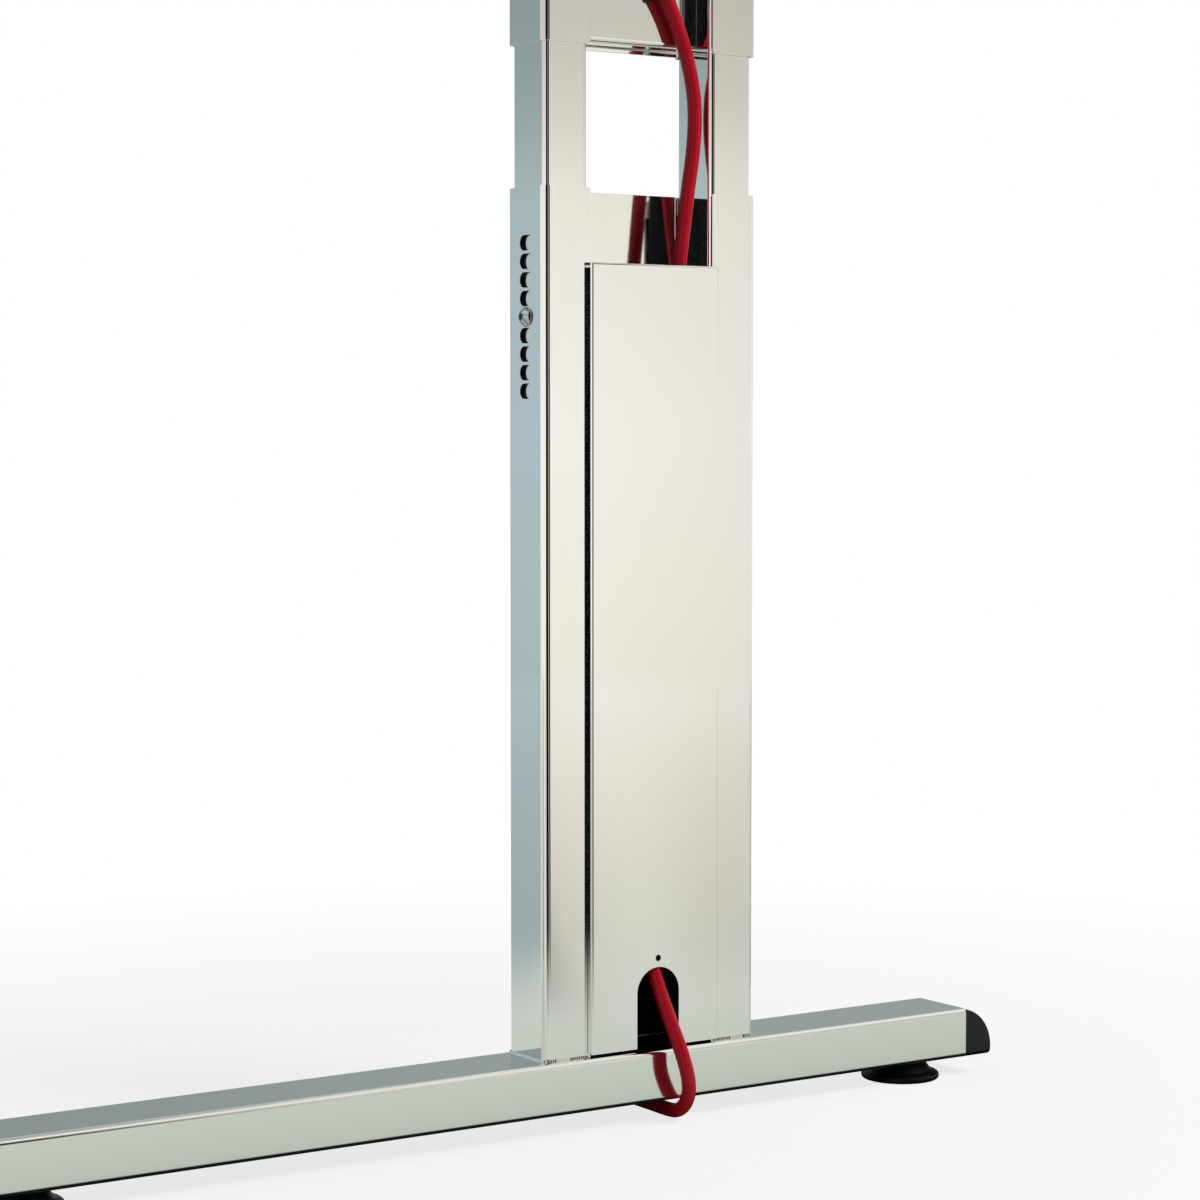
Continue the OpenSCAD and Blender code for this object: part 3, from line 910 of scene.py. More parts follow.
outerTube = {
    "wall": 1.5,
    "corner": 4.0,
    "cornerSteps": 14,
    "freeCorner": 2.0,
    "edge": 0.2,
}
heightSlots = {
    "count": 9,
    "pitch": 10.0,
    "height": 8.4,
    "width": 13.5,
    "corner": 4.19,
    "first": 405.0,           # middle of the lowest slot, above the floor
    "middle": 2.5,
}
for side in ("left", "right"):
    openSection(f"outer_tube_{side}", f"outer_tube_{side}_section", "base", outerTube,
                "top", heightSlots)
    openSection(f"upper_collar_{side}", f"upper_collar_{side}_section", "lifting_head",
                outerTube, "bottom")

innerTube = {
    "wall": 1.5,
    "corner": 3.0,
    "cornerSteps": 12,
    "edge": 0.18,
}
footBeam = {
    "wall": 2.0,
    "corner": 3.0,
    "cornerSteps": 12,
    "edge": 0.25,
}


def makeClosedTube(node, name, body, slotName, settings, lying=False):
    # stands along Z, or lies along X with its width standing up; no hole is cut in it, so
    # the clamp windows and the levellers' holes stay closed
    low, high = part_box(node)
    size = high - low
    sizes = {
        "Width": size.z if lying else size.x,
        "Depth": size.y,
        "Wall": settings["wall"] * mm,
        "Corner": settings["corner"] * mm,
        "Corner Steps": settings["cornerSteps"],
        "Length": size.x if lying else size.z,
        "Place": ((low.x + high.x) / 2, (low.y + high.y) / 2, low.z),
        "Finish": nickel,
    }
    if lying:
        sizes["Place"] = (low.x, 0.0, (low.z + high.z) / 2)
        sizes["Turn"] = (0.0, math.radians(90), 0.0)
    piece = runTree(name, tubeTree, sizes)
    softenEdges(piece, settings["edge"])
    place(piece, body, [node], slotName)


for side in ("left", "right"):
    makeClosedTube(f"inner_tube_{side}", f"inner_tube_{side}_section", "lifting_head",
                   "inner_steel", innerTube)
makeClosedTube("foot_beam", "foot_beam_section", "base", "polished_steel", footBeam, lying=True)
print("tubes and beam made")


def foldedSheetTree():
    # a sheet's thickness carried along a bent line, then pulled out to its length
    tree = newTree("folded sheet", {
        "Thickness": 0.0015,
        "Length": 0.1,
        "Bend": 0.002,
        "Bend Steps": 8,
        "Place": (0.0, 0.0, 0.0),
        "Turn": (0.0, 0.0, 0.0),
        "Finish": nickel,
    })
    given = addNode(tree, "NodeGroupInput")
    line = addNode(tree, "GeometryNodeMeshToCurve", {"Mesh": given.outputs["Geometry"]})
    path = addNode(tree, "GeometryNodeFilletCurve", {
        "Curve": line.outputs[0],
        "Count": given.outputs["Bend Steps"],
        "Radius": given.outputs["Bend"],
    }, mode="POLY")
    edge = addNode(tree, "GeometryNodeCurvePrimitiveQuadrilateral", {
        "Width": given.outputs["Thickness"],
        "Height": given.outputs["Length"],
    })
    sheet = addNode(tree, "GeometryNodeCurveToMesh", {
        "Curve": path.outputs[0],
        "Profile Curve": edge.outputs[0],
        "Fill Caps": True,
    })
    placed = addNode(tree, "GeometryNodeTransform", {
        "Geometry": sheet.outputs[0],
        "Translation": given.outputs["Place"],
        "Rotation": given.outputs["Turn"],
    })
    return closeTree(tree, placed.outputs[0], given.outputs["Finish"])


sheetTree = foldedSheetTree()

ductTray = {
    "thickness": 1.5,
    "bend": 1.3,
    "edge": 0.15,
}


def makeDuctTray():
    # its two short flanges point backwards and meet the outer sections' free edges
    low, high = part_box("duct_channel")
    half = ductTray["thickness"] * mm / 2
    line = [
        (low.x + half, high.y, 0),
        (low.x + half, low.y + half, 0),
        (high.x - half, low.y + half, 0),
        (high.x - half, high.y, 0),
    ]
    sizes = {
        "Thickness": ductTray["thickness"] * mm,
        "Length": high.z - low.z,
        "Bend": ductTray["bend"] * mm,
        "Bend Steps": 8,
        "Place": (0.0, 0.0, (low.z + high.z) / 2),
        "Finish": columnNickel,
    }
    piece = runTree("duct_tray_sheet", sheetTree, sizes, lineMesh("duct_line", line))
    softenEdges(piece, ductTray["edge"])
    place(piece, "base", ["duct_channel"], "polished_steel")


upperWeb = {
    "thickness": 1.5,
    "bend": 2.0,
    "edge": 0.15,
    "lip": 2.5,
}


def makeUpperWeb():
    # drawn as seen from the side, then turned so that the sheet runs across the column
    low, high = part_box("upper_web")
    half = upperWeb["thickness"] * mm / 2
    floorLine = low.z + upperWeb["lip"] * mm + half
    line = [
        (high.y - half, low.z, 0),
        (high.y - half, floorLine, 0),
        (low.y + half, floorLine, 0),
        (low.y + half, high.z - half, 0),
        (high.y, high.z - half, 0),
    ]
    sizes = {
        "Thickness": upperWeb["thickness"] * mm,
        "Length": high.x - low.x,
        "Bend": upperWeb["bend"] * mm,
        "Bend Steps": 8,
        "Place": ((low.x + high.x) / 2, 0.0, 0.0),
        "Turn": (math.radians(90), 0.0, math.radians(90)),
        "Finish": nickel,
    }
    piece = runTree("upper_web_sheet", sheetTree, sizes, lineMesh("web_line", line))
    softenEdges(piece, upperWeb["edge"])
    place(piece, "lifting_head", ["upper_web"], "polished_steel")


makeDuctTray()
makeUpperWeb()
print("duct and web folded")


coverPanel = {
    "thickness": 1.2,
    "bend": 1.25,             # outside radius of the folds
    "bendSteps": 6,
    "edge": 0.15,
    "notch": 2.8,             # height of the relief at each folded corner
    "setBack": 2.4,           # its face lies this far behind the space kept for it
    "archShift": 1.6,         # how far right of the middle the arch and the hole are
    "archWidth": 28.0,
    "archCrown": 87.0,        # above the floor
    "holeHeight": 92.0,
    "holeWidth": 3.6,
}


def outlinePrism(name, outline, front, back):
    # a closed prism along Y from an outline in X and Z
    shape = bmesh.new()
    near = [shape.verts.new((x, front, z)) for x, z in outline]
    far = [shape.verts.new((x, back, z)) for x, z in outline]
    shape.faces.new(near)
    shape.faces.new(list(reversed(far)))
    for i in range(len(outline)):
        k = (i + 1) % len(outline)
        shape.faces.new([near[k], near[i], far[i], far[k]])
    bmesh.ops.recalc_face_normals(shape, faces=shape.faces)
    mesh = bpy.data.meshes.new(name)
    shape.to_mesh(mesh)
    shape.free()
    return linkMesh(name, mesh)


def arcPoints(middleX, middleZ, radius, start, end, steps):
    return [
        (
            middleX + radius * math.cos(start + (end - start) * i / steps),
            middleZ + radius * math.sin(start + (end - start) * i / steps),
        )
        for i in range(steps + 1)
    ]


def coverPunches(low, high):
    # the arch for the cable, the small hole over it, and a relief at each folded corner
    middle = (low.x + high.x) / 2 + coverPanel["archShift"] * mm
    half = coverPanel["archWidth"] / 2 * mm
    spring = coverPanel["archCrown"] * mm - half
    under = low.z - 2 * mm
    arch = [(middle - half, under)]
    arch += arcPoints(middle, spring, half, math.pi, 0, 32)
    arch.append((middle + half, under))
    hole = arcPoints(middle, coverPanel["holeHeight"] * mm, coverPanel["holeWidth"] / 2 * mm,
                     0, 2 * math.pi * 23 / 24, 23)
    front = low.y - 2 * mm
    punches = [
        outlinePrism("arch_punch", arch, front, low.y + 4 * mm),
        outlinePrism("hole_punch", hole, front, low.y + 4 * mm),
    ]
    reach = coverPanel["thickness"] * mm
    drop = high.z - coverPanel["notch"] * mm
    for near, far in ((low.x - 1 * mm, low.x + reach), (high.x - reach, high.x + 1 * mm)):
        corner = [(near, drop), (far, drop), (far, high.z + 1 * mm), (near, high.z + 1 * mm)]
        punches.append(outlinePrism("corner_punch", corner,
                                    low.y + coverPanel["bend"] * mm, high.y + 2 * mm))
    return punches


def makeCoverPanel():
    low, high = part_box("cover_panel")
    low.y += coverPanel["setBack"] * mm
    shape = bmesh.new()
    bmesh.ops.create_cube(shape, size=1.0)
    bmesh.ops.scale(shape, vec=high - low, verts=shape.verts)
    bmesh.ops.translate(shape, vec=(low + high) / 2, verts=shape.verts)
    opened = [f for f in shape.faces if f.normal.y > 0.9 or f.normal.z < -0.9]
    bmesh.ops.delete(shape, geom=opened, context="FACES_ONLY")
    folds = [
        e for e in shape.edges
        if all(abs(v.co.y - low.y) < 1e-6 for v in e.verts) and len(e.link_faces) == 2
    ]
    bmesh.ops.bevel(shape, geom=folds, offset=coverPanel["bend"] * mm,
                    segments=coverPanel["bendSteps"], profile=0.5, affect="EDGES")
    bmesh.ops.recalc_face_normals(shape, faces=shape.faces)
    front = max(shape.faces, key=lambda f: f.calc_area())
    if front.normal.y > 0:
        bmesh.ops.reverse_faces(shape, faces=shape.faces)
    mesh = bpy.data.meshes.new("cover_panel_sheet")
    shape.to_mesh(mesh)
    shape.free()
    piece = linkMesh("cover_panel_sheet", mesh)
    wall = piece.modifiers.new("sheet", "SOLIDIFY")
    wall.thickness = coverPanel["thickness"] * mm
    wall.offset = -1
    wall.use_even_offset = True
    wall.use_quality_normals = True
    punches = coverPunches(low, high)
    for punch in punches:
        cut = piece.modifiers.new("punch", "BOOLEAN")
        cut.object = punch
        cut.operation = "DIFFERENCE"
        cut.solver = "EXACT"
    applyModifiers(piece)
    for punch in punches:
        bpy.data.objects.remove(punch)
    dress(piece, columnNickel)
    softenEdges(piece, coverPanel["edge"])
    place(piece, "cover", ["cover_panel"], "polished_steel")


makeCoverPanel()
print("cover folded")


weldBead = {
    "radius": 0.75,
    "ripple": 0.16,
    "pitch": 1.4,
    "uneven": 0.35,
    "level": 41.15,           # just above the beam's top face
    "fillet": 3.6,            # where it rounds the section's corners
    "filletSteps": 6,
    "tack": (13.0, 2.0),      # both ends of a tack, from the section's free edge
    "tackDepth": 0.2,
    "frontRun": 7.0,          # how far it comes round on to the front
    "ductInset": 6.0,
}


def weldLine(name, corners, seed, fillet=0.0):
    # a bead of weld along the floor of the column, rounding the section's corners
    line = []
    for i, (x, y) in enumerate(corners):
        if fillet and 0 < i < len(corners) - 1:
            before = Vector(corners[i - 1]) - Vector((x, y))
            after = Vector(corners[i + 1]) - Vector((x, y))
            start = Vector((x, y)) + before.normalized() * fillet
            end = Vector((x, y)) + after.normalized() * fillet
            for n in range(weldBead["filletSteps"] + 1):
                t = n / weldBead["filletSteps"]
                bent = start * (1 - t) ** 2 + Vector((x, y)) * 2 * t * (1 - t) + end * t ** 2
                line.append((bent.x, bent.y))
        else:
            line.append((x, y))
    points = [point(x, y, weldBead["level"]) for x, y in line]
    piece = runTree(name, runWithRipples, {
        "Start Radius": weldBead["radius"] * mm,
        "End Radius": weldBead["radius"] * mm,
        "Ripple Depth": weldBead["ripple"] * mm,
        "Ripple Length": weldBead["pitch"] * mm,
        "Unevenness": weldBead["uneven"] * mm,
        "Step": 0.28 * mm,
        "Sides": 8,
        "Seed": seed,
        "Finish": weldSteel,
    }, lineMesh(name + "_line", points))
    return place(piece, "base", [], "polished_steel")


def makeWelds():
    for number, side in enumerate(("left", "right")):
        low, high = [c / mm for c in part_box(f"outer_tube_{side}")]
        outer, free = (low.x, high.x) if side == "left" else (high.x, low.x)
        inward = 1 if side == "left" else -1
        weldLine(f"weld_{side}", [
            (outer + inward * weldBead["frontRun"], low.y),
            (outer, low.y),
            (outer, high.y),
            (free, high.y),
        ], 3.0 + number, fillet=weldBead["fillet"])
        weldLine(f"weld_tack_{side}", [
            (free - inward * reach, low.y + weldBead["tackDepth"]) for reach in weldBead["tack"]
        ], 7.0 + number)
    low, high = [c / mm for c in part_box("duct_channel")]
    inset = weldBead["ductInset"]
    weldLine("weld_duct", [(low.x + inset, low.y), (high.x - inset, low.y)], 11.0)


makeWelds()
print("feet of the column welded")


def softenedNode(node, name, body, material, slotName, width, steps=2, angle=35, reach=None):
    # reach is how far in from the column's sides, in millimetres, the piece may go
    piece = mergedCopy(node, name)
    if reach:
        middle = columnMiddle * mm
        limit = (columnHalf - reach) * mm
        for vertex in piece.data.vertices:
            side = 1 if vertex.co.x > middle else -1
            if abs(vertex.co.x - middle) < limit:
                vertex.co.x = middle + side * limit
    dress(piece, material)
    softenEdges(piece, width, steps, angle)
    return place(piece, body, [node], slotName)


softenedNode("head_plate", "head_plate_cut", "lifting_head", nickel, "polished_steel", 0.5)
for end in ("front", "rear"):
    softenedNode(f"end_cap_{end}", f"end_cap_{end}_moulded", "base", capPlastic,
                 "black_plastic", 0.8, 3)
    softenedNode(f"leveller_pad_{end}", f"leveller_pad_{end}_moulded",
                 f"leveller_{end}_pad", padPlastic, "black_plastic", 0.5, 3, 25)
    softenedNode(f"leveller_insert_{end}", f"leveller_insert_{end}_turned", "base",
                 brightZinc, "zinc_steel", 0.3)
for side in ("left", "right"):
    softenedNode(f"lock_screw_{side}", f"lock_screw_{side}_head", f"lock_{side}_screw",
                 screwSteel, "zinc_steel", 0.25, 3)
    softenedNode(f"lock_washer_{side}", f"lock_washer_{side}_ring",
                 f"lock_{side}_washer", brightZinc, "zinc_steel", 0.12)
    softenedNode(f"lock_nut_{side}", f"lock_nut_{side}_formed", "base",
                 brightZinc, "zinc_steel", 0.1, reach=1.9)
    softenedNode(f"clamp_rail_{side}", f"clamp_rail_{side}_sheared", "lifting_head",
                 innerSteel, "inner_steel", 0.15)
    softenedNode(f"glide_shoe_{side}", f"glide_shoe_{side}_moulded", "lifting_head",
                 capPlastic, "black_plastic", 0.3)
clips = mergedCopy("cover_clips", "cover_clips_sprung")
for vertex in clips.data.vertices:
    if vertex.co.y < -18.4 * mm:              # their backs follow the cover's face
        vertex.co.y += coverPanel["setBack"] * mm
dress(clips, brightZinc)
softenEdges(clips, 0.15)
place(clips, "cover", ["cover_clips"], "zinc_steel")
plugPiece = softenedNode("cable_plug", "cable_plug_moulded", "base", plugPlastic,
                         "black_plastic", 0.7, 3)
socketPiece = softenedNode("cable_socket", "cable_socket_moulded", "lifting_head",
                           plugPlastic, "black_plastic", 0.5, 3)
print("smaller pieces made")


def threadedStudTree():
    # a rod whose radius falls and rises with height and angle, which is a screw thread
    tree = newTree("levelling stud", {
        "Radius": 0.004,
        "Length": 0.03,
        "Pitch": 0.00125,
        "Depth": 0.0006,
        "Chamfer": 0.001,
        "Sides": 40,
        "Rings": 190,
        "Ball Radius": 0.005,
        "Ball Height": 0.006,
        "Place": (0.0, 0.0, 0.0),
        "Finish": brightZinc,
    })
    given = addNode(tree, "NodeGroupInput")
    rod = addNode(tree, "GeometryNodeMeshCylinder", {
        "Vertices": given.outputs["Sides"],
        "Side Segments": given.outputs["Rings"],
        "Radius": given.outputs["Radius"],
        "Depth": given.outputs["Length"],
    })
    where = addNode(tree, "GeometryNodeInputPosition")
    parts = addNode(tree, "ShaderNodeSeparateXYZ", {0: where.outputs[0]})
    angle = addNode(tree, "ShaderNodeMath", {0: parts.outputs["Y"], 1: parts.outputs["X"]},
                    operation="ARCTAN2")
    share = addNode(tree, "ShaderNodeMath", {0: angle.outputs[0], 1: 2 * math.pi},
                    operation="DIVIDE")
    turns = addNode(tree, "ShaderNodeMath", {0: parts.outputs["Z"], 1: given.outputs["Pitch"]},
                    operation="DIVIDE")
    phase = addNode(tree, "ShaderNodeMath", {0: turns.outputs[0], 1: share.outputs[0]},
                    operation="SUBTRACT")
    slope = addNode(tree, "ShaderNodeMath", {0: phase.outputs[0], 1: 0.5},
                    operation="PINGPONG")
    groove = addNode(tree, "ShaderNodeMath", {0: slope.outputs[0], 1: given.outputs["Depth"]},
                     operation="MULTIPLY")
    height = addNode(tree, "ShaderNodeMath", {0: parts.outputs["Z"]}, operation="ABSOLUTE")
    halfLength = addNode(tree, "ShaderNodeMath", {0: given.outputs["Length"], 1: 0.5},
                         operation="MULTIPLY")
    fromEnd = addNode(tree, "ShaderNodeMath", {0: halfLength.outputs[0], 1: height.outputs[0]},
                      operation="SUBTRACT")
    short = addNode(tree, "ShaderNodeMath", {
        0: given.outputs["Chamfer"],
        1: fromEnd.outputs[0],
    }, operation="SUBTRACT", use_clamp=True)
    inward = addNode(tree, "ShaderNodeMath", {0: groove.outputs[0], 1: short.outputs[0]},
                     operation="ADD")
    outwards = addNode(tree, "ShaderNodeCombineXYZ", {
        "X": parts.outputs["X"],
        "Y": parts.outputs["Y"],
    })
    direction = addNode(tree, "ShaderNodeVectorMath", {0: outwards.outputs[0]},
                        operation="NORMALIZE")
    back = addNode(tree, "ShaderNodeMath", {0: inward.outputs[0], 1: -1.0},
                   operation="MULTIPLY")
    shift = addNode(tree, "ShaderNodeVectorMath", {0: direction.outputs[0], "Scale": back.outputs[0]},
                    operation="SCALE")
    threaded = addNode(tree, "GeometryNodeSetPosition", {
        "Geometry": rod.outputs["Mesh"],
        "Offset": shift.outputs[0],
    })
    slot = addNode(tree, "GeometryNodeMeshCube", {"Size": (0.02, 0.0012, 0.004)})
    atTop = addNode(tree, "ShaderNodeCombineXYZ", {"Z": halfLength.outputs[0]})
    raised = addNode(tree, "GeometryNodeTransform", {
        "Geometry": slot.outputs[0],
        "Translation": atTop.outputs[0],
    })
    cut = addNode(tree, "GeometryNodeMeshBoolean", {
        "Mesh 1": threaded.outputs[0],
        "Mesh 2": raised.outputs[0],
    }, operation="DIFFERENCE")
    ball = addNode(tree, "GeometryNodeMeshUVSphere", {
        "Segments": 32,
        "Rings": 16,
        "Radius": given.outputs["Ball Radius"],
    })
    under = addNode(tree, "ShaderNodeMath", {
        0: given.outputs["Ball Height"],
        1: halfLength.outputs[0],
    }, operation="SUBTRACT")
    ballPlace = addNode(tree, "ShaderNodeCombineXYZ", {"Z": under.outputs[0]})
    lowered = addNode(tree, "GeometryNodeTransform", {
        "Geometry": ball.outputs[0],
        "Translation": ballPlace.outputs[0],
    })
    whole = addNode(tree, "GeometryNodeMeshBoolean", {"Mesh 2": cut.outputs[0]},
                    operation="UNION")
    tree.links.new(lowered.outputs[0], whole.inputs["Mesh 2"])
    placed = addNode(tree, "GeometryNodeTransform", {
        "Geometry": whole.outputs[0],
        "Translation": given.outputs["Place"],
    })
    return closeTree(tree, placed.outputs[0], given.outputs["Finish"])


stud = {
    "radius": 4.0,
    "pitch": 1.25,
    "depth": 1.3,             # the thread's depth is half of this
    "ballRadius": 4.95,
}


def makeStuds():
    tree = threadedStudTree()
    for end in ("front", "rear"):
        low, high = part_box(f"leveller_stud_{end}")
        foot = low.z + stud["ballRadius"] * mm
        piece = runTree(f"leveller_stud_{end}_threaded", tree, {
            "Radius": stud["radius"] * mm,
            "Length": high.z - foot,
            "Pitch": stud["pitch"] * mm,
            "Depth": stud["depth"] * mm,
            "Ball Radius": stud["ballRadius"] * mm,
            "Ball Height": 0.0,
            "Place": ((low.x + high.x) / 2, (low.y + high.y) / 2, (foot + high.z) / 2),
            "Finish": brightZinc,
        })
        for face in piece.data.polygons:
            face.use_smooth = len(face.vertices) < 8
        place(piece, f"leveller_{end}_stud", [f"leveller_stud_{end}"], "zinc_steel")


makeStuds()

tie = {
    "strap": 1.1,
    "width": 7.0,
    "room": 0.2,
    "headSize": (4.0, 6.4, 5.2),
}


def makeTie():
    # a strap round the coil's four turns, with its small square head on top
    thick = cable["diameter"]
    middleX = cable["coilMiddle"][0] - cable["coilRadius"]
    bottom = cable["lowest"] + cable["tieLift"] - thick / 2 - tie["room"] - tie["strap"]
    across = 2 * thick + 2 * tie["room"] + 2 * tie["strap"]
    top = bottom + across
    strap = runTree("coil_tie", tubeTree, {
        "Width": across * mm,
        "Depth": (top - bottom) * mm,
        "Wall": tie["strap"] * mm,
        "Corner": 3.4 * mm,
        "Corner Steps": 8,
        "Length": tie["width"] * mm,
        "Place": point(middleX, cable["coilMiddle"][1] + tie["width"] / 2, (bottom + top) / 2),
        "Turn": (math.radians(90), 0.0, 0.0),
        "Finish": plugPlastic,
    })
    softenEdges(strap, 0.25)
    place(strap, "base", [], "black_plastic")
    shape = bmesh.new()
    bmesh.ops.create_cube(shape, size=1.0)
    size = Vector(tie["headSize"]) * mm
    bmesh.ops.scale(shape, vec=size, verts=shape.verts)
    bmesh.ops.bevel(shape, geom=shape.edges[:], offset=0.7 * mm, segments=3, profile=0.5,
                    affect="EDGES")
    head = point(middleX - 2, cable["coilMiddle"][1], top + tie["headSize"][2] / 2 - 0.6)
    bmesh.ops.translate(shape, vec=head, verts=shape.verts)
    mesh = bpy.data.meshes.new("coil_tie_head")
    shape.to_mesh(mesh)
    shape.free()
    block = dress(linkMesh("coil_tie_head", mesh), plugPlastic)
    for face in mesh.polygons:
        face.use_smooth = True
    place(block, "base", [], "black_plastic")


makeTie()
print("studs and coil tie made")

finishes = {
    "polished_steel": nickel,
    "inner_steel": innerSteel,
    "zinc_steel": brightZinc,
    "black_plastic": capPlastic,
    "cable_jacket": jacket,
}
for row in frame["record"]["subparts"]:
    dress(frame["nodes"][row["node"]], finishes[row["material_slot"]])

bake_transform(cablePiece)


studio = {
    "floorRadius": 3.0,
    "column": (90, 0),        # what the walls' compass angles are measured round
    "keyPlace": (1100, -1300, 1500),
    "keySize": 1.0,
    "keyPower": 28.0,
    "ambient": 0.25,
}
# the studio's walls by compass angle: 0 is in front of the leg, 90 on its right
walls = [
    (-180, "#A9BCC4"), (-150, "#AFC5CE"), (-142, "#B9CDD5"), (-136, "#FBFCFC"),
    (-90, "#FFFFFF"), (-43, "#FFFFFF"), (-39, "#080B0F"), (-9, "#0B0E12"),
    (-6, "#9B9993"), (6, "#A5A39C"), (9, "#121416"), (23, "#181A1B"), (28, "#F4F0E8"),
    (33, "#FFFEFA"), (37, "#F2F0E9"), (48, "#E9E8E2"), (75, "#FFFFFF"), (100, "#F4F6F6"),
    (118, "#B8C3C6"), (146, "#BDCACB"), (165, "#A2B2B8"), (180, "#A9BCC4"),
]
# how bright the walls are by height: the sine of the angle over the horizon
heights = [
    (-0.30, "#C9C9C4"), (-0.06, "#FBFBF6"), (0.0, "#FFFFFF"), (0.075, "#F7F6F2"),
    (0.105, "#DFDDD8"), (0.132, "#CFCECA"), (0.42, "#D6D6D2"), (0.62, "#FFFFFF"),
    (0.86, "#F4F4F2"), (0.95, "#8C9092"), (1.0, "#7E8386"),
]
# the floor as metal shows it, by distance in metres in front of or behind the foot, with a painted
# shadow within about 5 cm of the foot
floorShadowForMirrors = [
    (0.0, "#0C0F12"), (0.036, "#14181B"), (0.052, "#B9C2B8"), (0.10, "#C4CDC2"),
    (0.30, "#D8DCD7"), (1.2, "#EEECE7"), (2.6, "#FFFFFF"),
]


def addRamp(tree, value, stops, start, end):
    # a colour for each stop's value between start and end
    share = addNode(tree, "ShaderNodeMapRange", {
        "Value": value,
        "From Min": start,
        "From Max": end,
    })
    ramp = addNode(tree, "ShaderNodeValToRGB", {0: share.outputs[0]})
    marks = ramp.color_ramp.elements
    while len(marks) < len(stops):
        marks.new(0.5)
    for mark, (place, code) in zip(marks, stops):
        mark.position = (place - start) / (end - start)
        mark.color = colour(code)
    return ramp.outputs[0]


def compassColour(tree, across, depth):
    # the wall's colour in the direction of these X and Y parts
    towards = addNode(tree, "ShaderNodeMath", {0: depth, 1: -1.0}, operation="MULTIPLY")
    angle = addNode(tree, "ShaderNodeMath", {0: across, 1: towards.outputs[0]},
                    operation="ARCTAN2")
    degrees = addNode(tree, "ShaderNodeMath", {0: angle.outputs[0]}, operation="DEGREES")
    return addRamp(tree, degrees.outputs[0], walls, -180, 180)


def mixColours(tree, share, first, second, blend="MIX"):
    return addNode(tree, "ShaderNodeMix", {
        "Factor": share,
        "A": first,
        "B": second,
    }, data_type="RGBA", blend_type=blend).outputs["Result"]


def mirrorRays(tree, path):
    return addNode(tree, "ShaderNodeMath", {
        0: path.outputs["Is Glossy Ray"],
        1: path.outputs["Is Transmission Ray"],
    }, operation="MAXIMUM").outputs[0]


def makeWorld():
    # white behind the leg; metal shows the walls; everything else gets an even light
    world = bpy.data.worlds.new("studio")
    world.use_nodes = True
    tree = world.node_tree
    tree.nodes.clear()
    aim = addNode(tree, "ShaderNodeTexCoord")
    parts = addNode(tree, "ShaderNodeSeparateXYZ", {0: aim.outputs["Generated"]})
    around = compassColour(tree, parts.outputs["X"], parts.outputs["Y"])
    upwards = addRamp(tree, parts.outputs["Z"], heights, -1, 1)
    seen = mixColours(tree, 1.0, around, upwards, "MULTIPLY")
    path = addNode(tree, "ShaderNodeLightPath")
    level = studio["ambient"]
    plain = mixColours(tree, path.outputs["Is Camera Ray"], (level, level, level, 1),
                       (1, 1, 1, 1))
    both = mixColours(tree, mirrorRays(tree, path), plain, seen)
    back = addNode(tree, "ShaderNodeBackground", {"Color": both})
    addNode(tree, "ShaderNodeOutputWorld", {"Surface": back.outputs[0]})
    bpy.context.scene.world = world


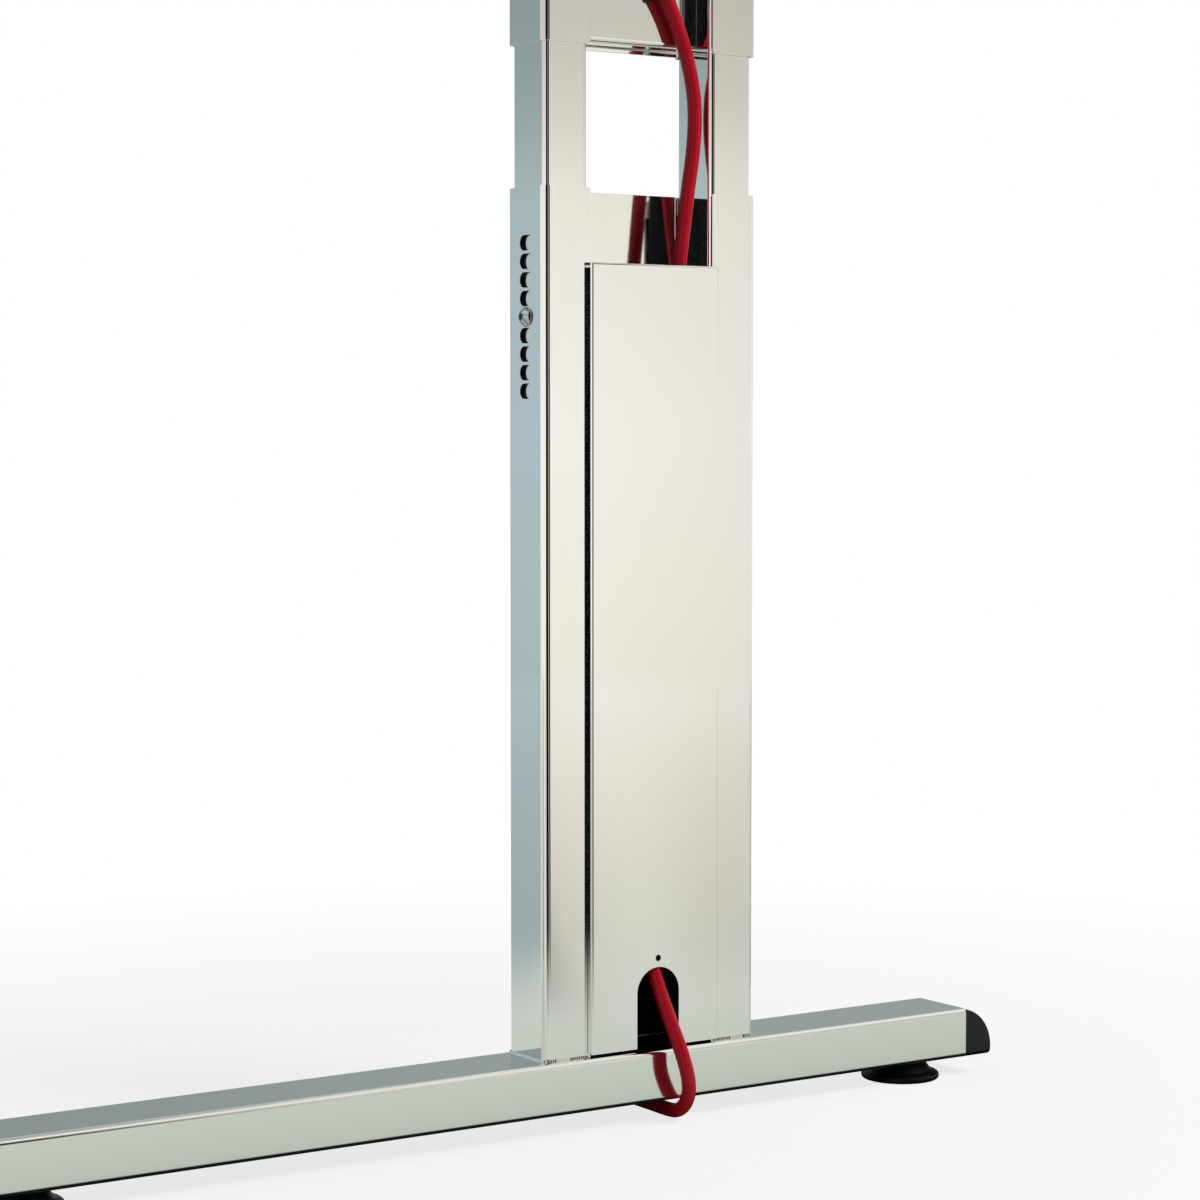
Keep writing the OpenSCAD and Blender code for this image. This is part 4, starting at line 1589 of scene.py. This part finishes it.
def floorMaterial():
    # painted studio floor: matt and pale, white to the camera far from the leg; metal shows it with a
    # painted shadow close to the foot and like the walls further off
    material, tree = startMaterial("studio_floor")
    where = addNode(tree, "ShaderNodeTexCoord").outputs["Object"]
    centred = addNode(tree, "ShaderNodeVectorMath", {
        0: where,
        1: point(*studio["column"], 0),
    }, operation="SUBTRACT")
    parts = addNode(tree, "ShaderNodeSeparateXYZ", {0: centred.outputs[0]})
    far = addNode(tree, "ShaderNodeVectorMath", {0: centred.outputs[0]}, operation="LENGTH")
    beside = addNode(tree, "ShaderNodeMath", {0: parts.outputs["Y"]}, operation="ABSOLUTE")
    # painted shadow: metal sees the floor nearly black within about 5 cm of the foot
    paintedFloorShadow = addRamp(tree, beside.outputs[0], floorShadowForMirrors, 0, 3)
    around = compassColour(tree, parts.outputs["X"], parts.outputs["Y"])
    wallShare = addNode(tree, "ShaderNodeMapRange", {
        "Value": far.outputs["Value"],
        "From Min": 0.22,
        "From Max": 0.75,
    }, interpolation_type="SMOOTHSTEP")
    tinted = mixColours(tree, wallShare.outputs[0], (1, 1, 1, 1), around)
    mirrored = mixColours(tree, 1.0, paintedFloorShadow, tinted, "MULTIPLY")
    path = addNode(tree, "ShaderNodeLightPath")
    fade = addNode(tree, "ShaderNodeMapRange", {
        "Value": far.outputs["Value"],
        "From Min": 0.3,
        "From Max": 0.9,
        "To Min": 0.78,
    })
    paint = mixColours(tree, path.outputs["Is Camera Ray"], colour("#DADAD2"),
                       colour("#FFFFFF"))
    matt = addNode(tree, "ShaderNodeBsdfDiffuse", {"Color": paint})
    white = addNode(tree, "ShaderNodeEmission", {"Color": (1, 1, 1, 1)})
    seen = addNode(tree, "ShaderNodeMath", {
        0: path.outputs["Is Camera Ray"],
        1: fade.outputs[0],
    }, operation="MULTIPLY")
    plain = addNode(tree, "ShaderNodeMixShader", {
        0: seen.outputs[0],
        1: matt.outputs[0],
        2: white.outputs[0],
    })
    image = addNode(tree, "ShaderNodeEmission", {"Color": mirrored})
    whole = addNode(tree, "ShaderNodeMixShader", {
        0: mirrorRays(tree, path),
        1: plain.outputs[0],
        2: image.outputs[0],
    })
    endMaterial(tree, whole.outputs[0])
    return material


def makeFloor():
    shape = bmesh.new()
    bmesh.ops.create_circle(shape, cap_ends=True, segments=96, radius=studio["floorRadius"])
    mesh = bpy.data.meshes.new("floor")
    shape.to_mesh(mesh)
    shape.free()
    floor = dress(linkMesh("floor", mesh), floorMaterial())


def makeKeyLight():
    data = bpy.data.lights.new("key", "AREA")
    data.shape = "DISK"
    data.size = studio["keySize"]
    data.energy = studio["keyPower"]
    lamp = bpy.data.objects.new("key", data)
    lamp.location = point(*studio["keyPlace"])
    aim = point(60, 0, 250) - lamp.location
    lamp.rotation_mode = "QUATERNION"
    lamp.rotation_quaternion = aim.to_track_quat("-Z", "Y")
    lamp.visible_glossy = False
    bpy.context.scene.collection.objects.link(lamp)


makeWorld()
makeFloor()
makeKeyLight()
bpy.context.scene.view_settings.view_transform = "Standard"
print("studio lit")
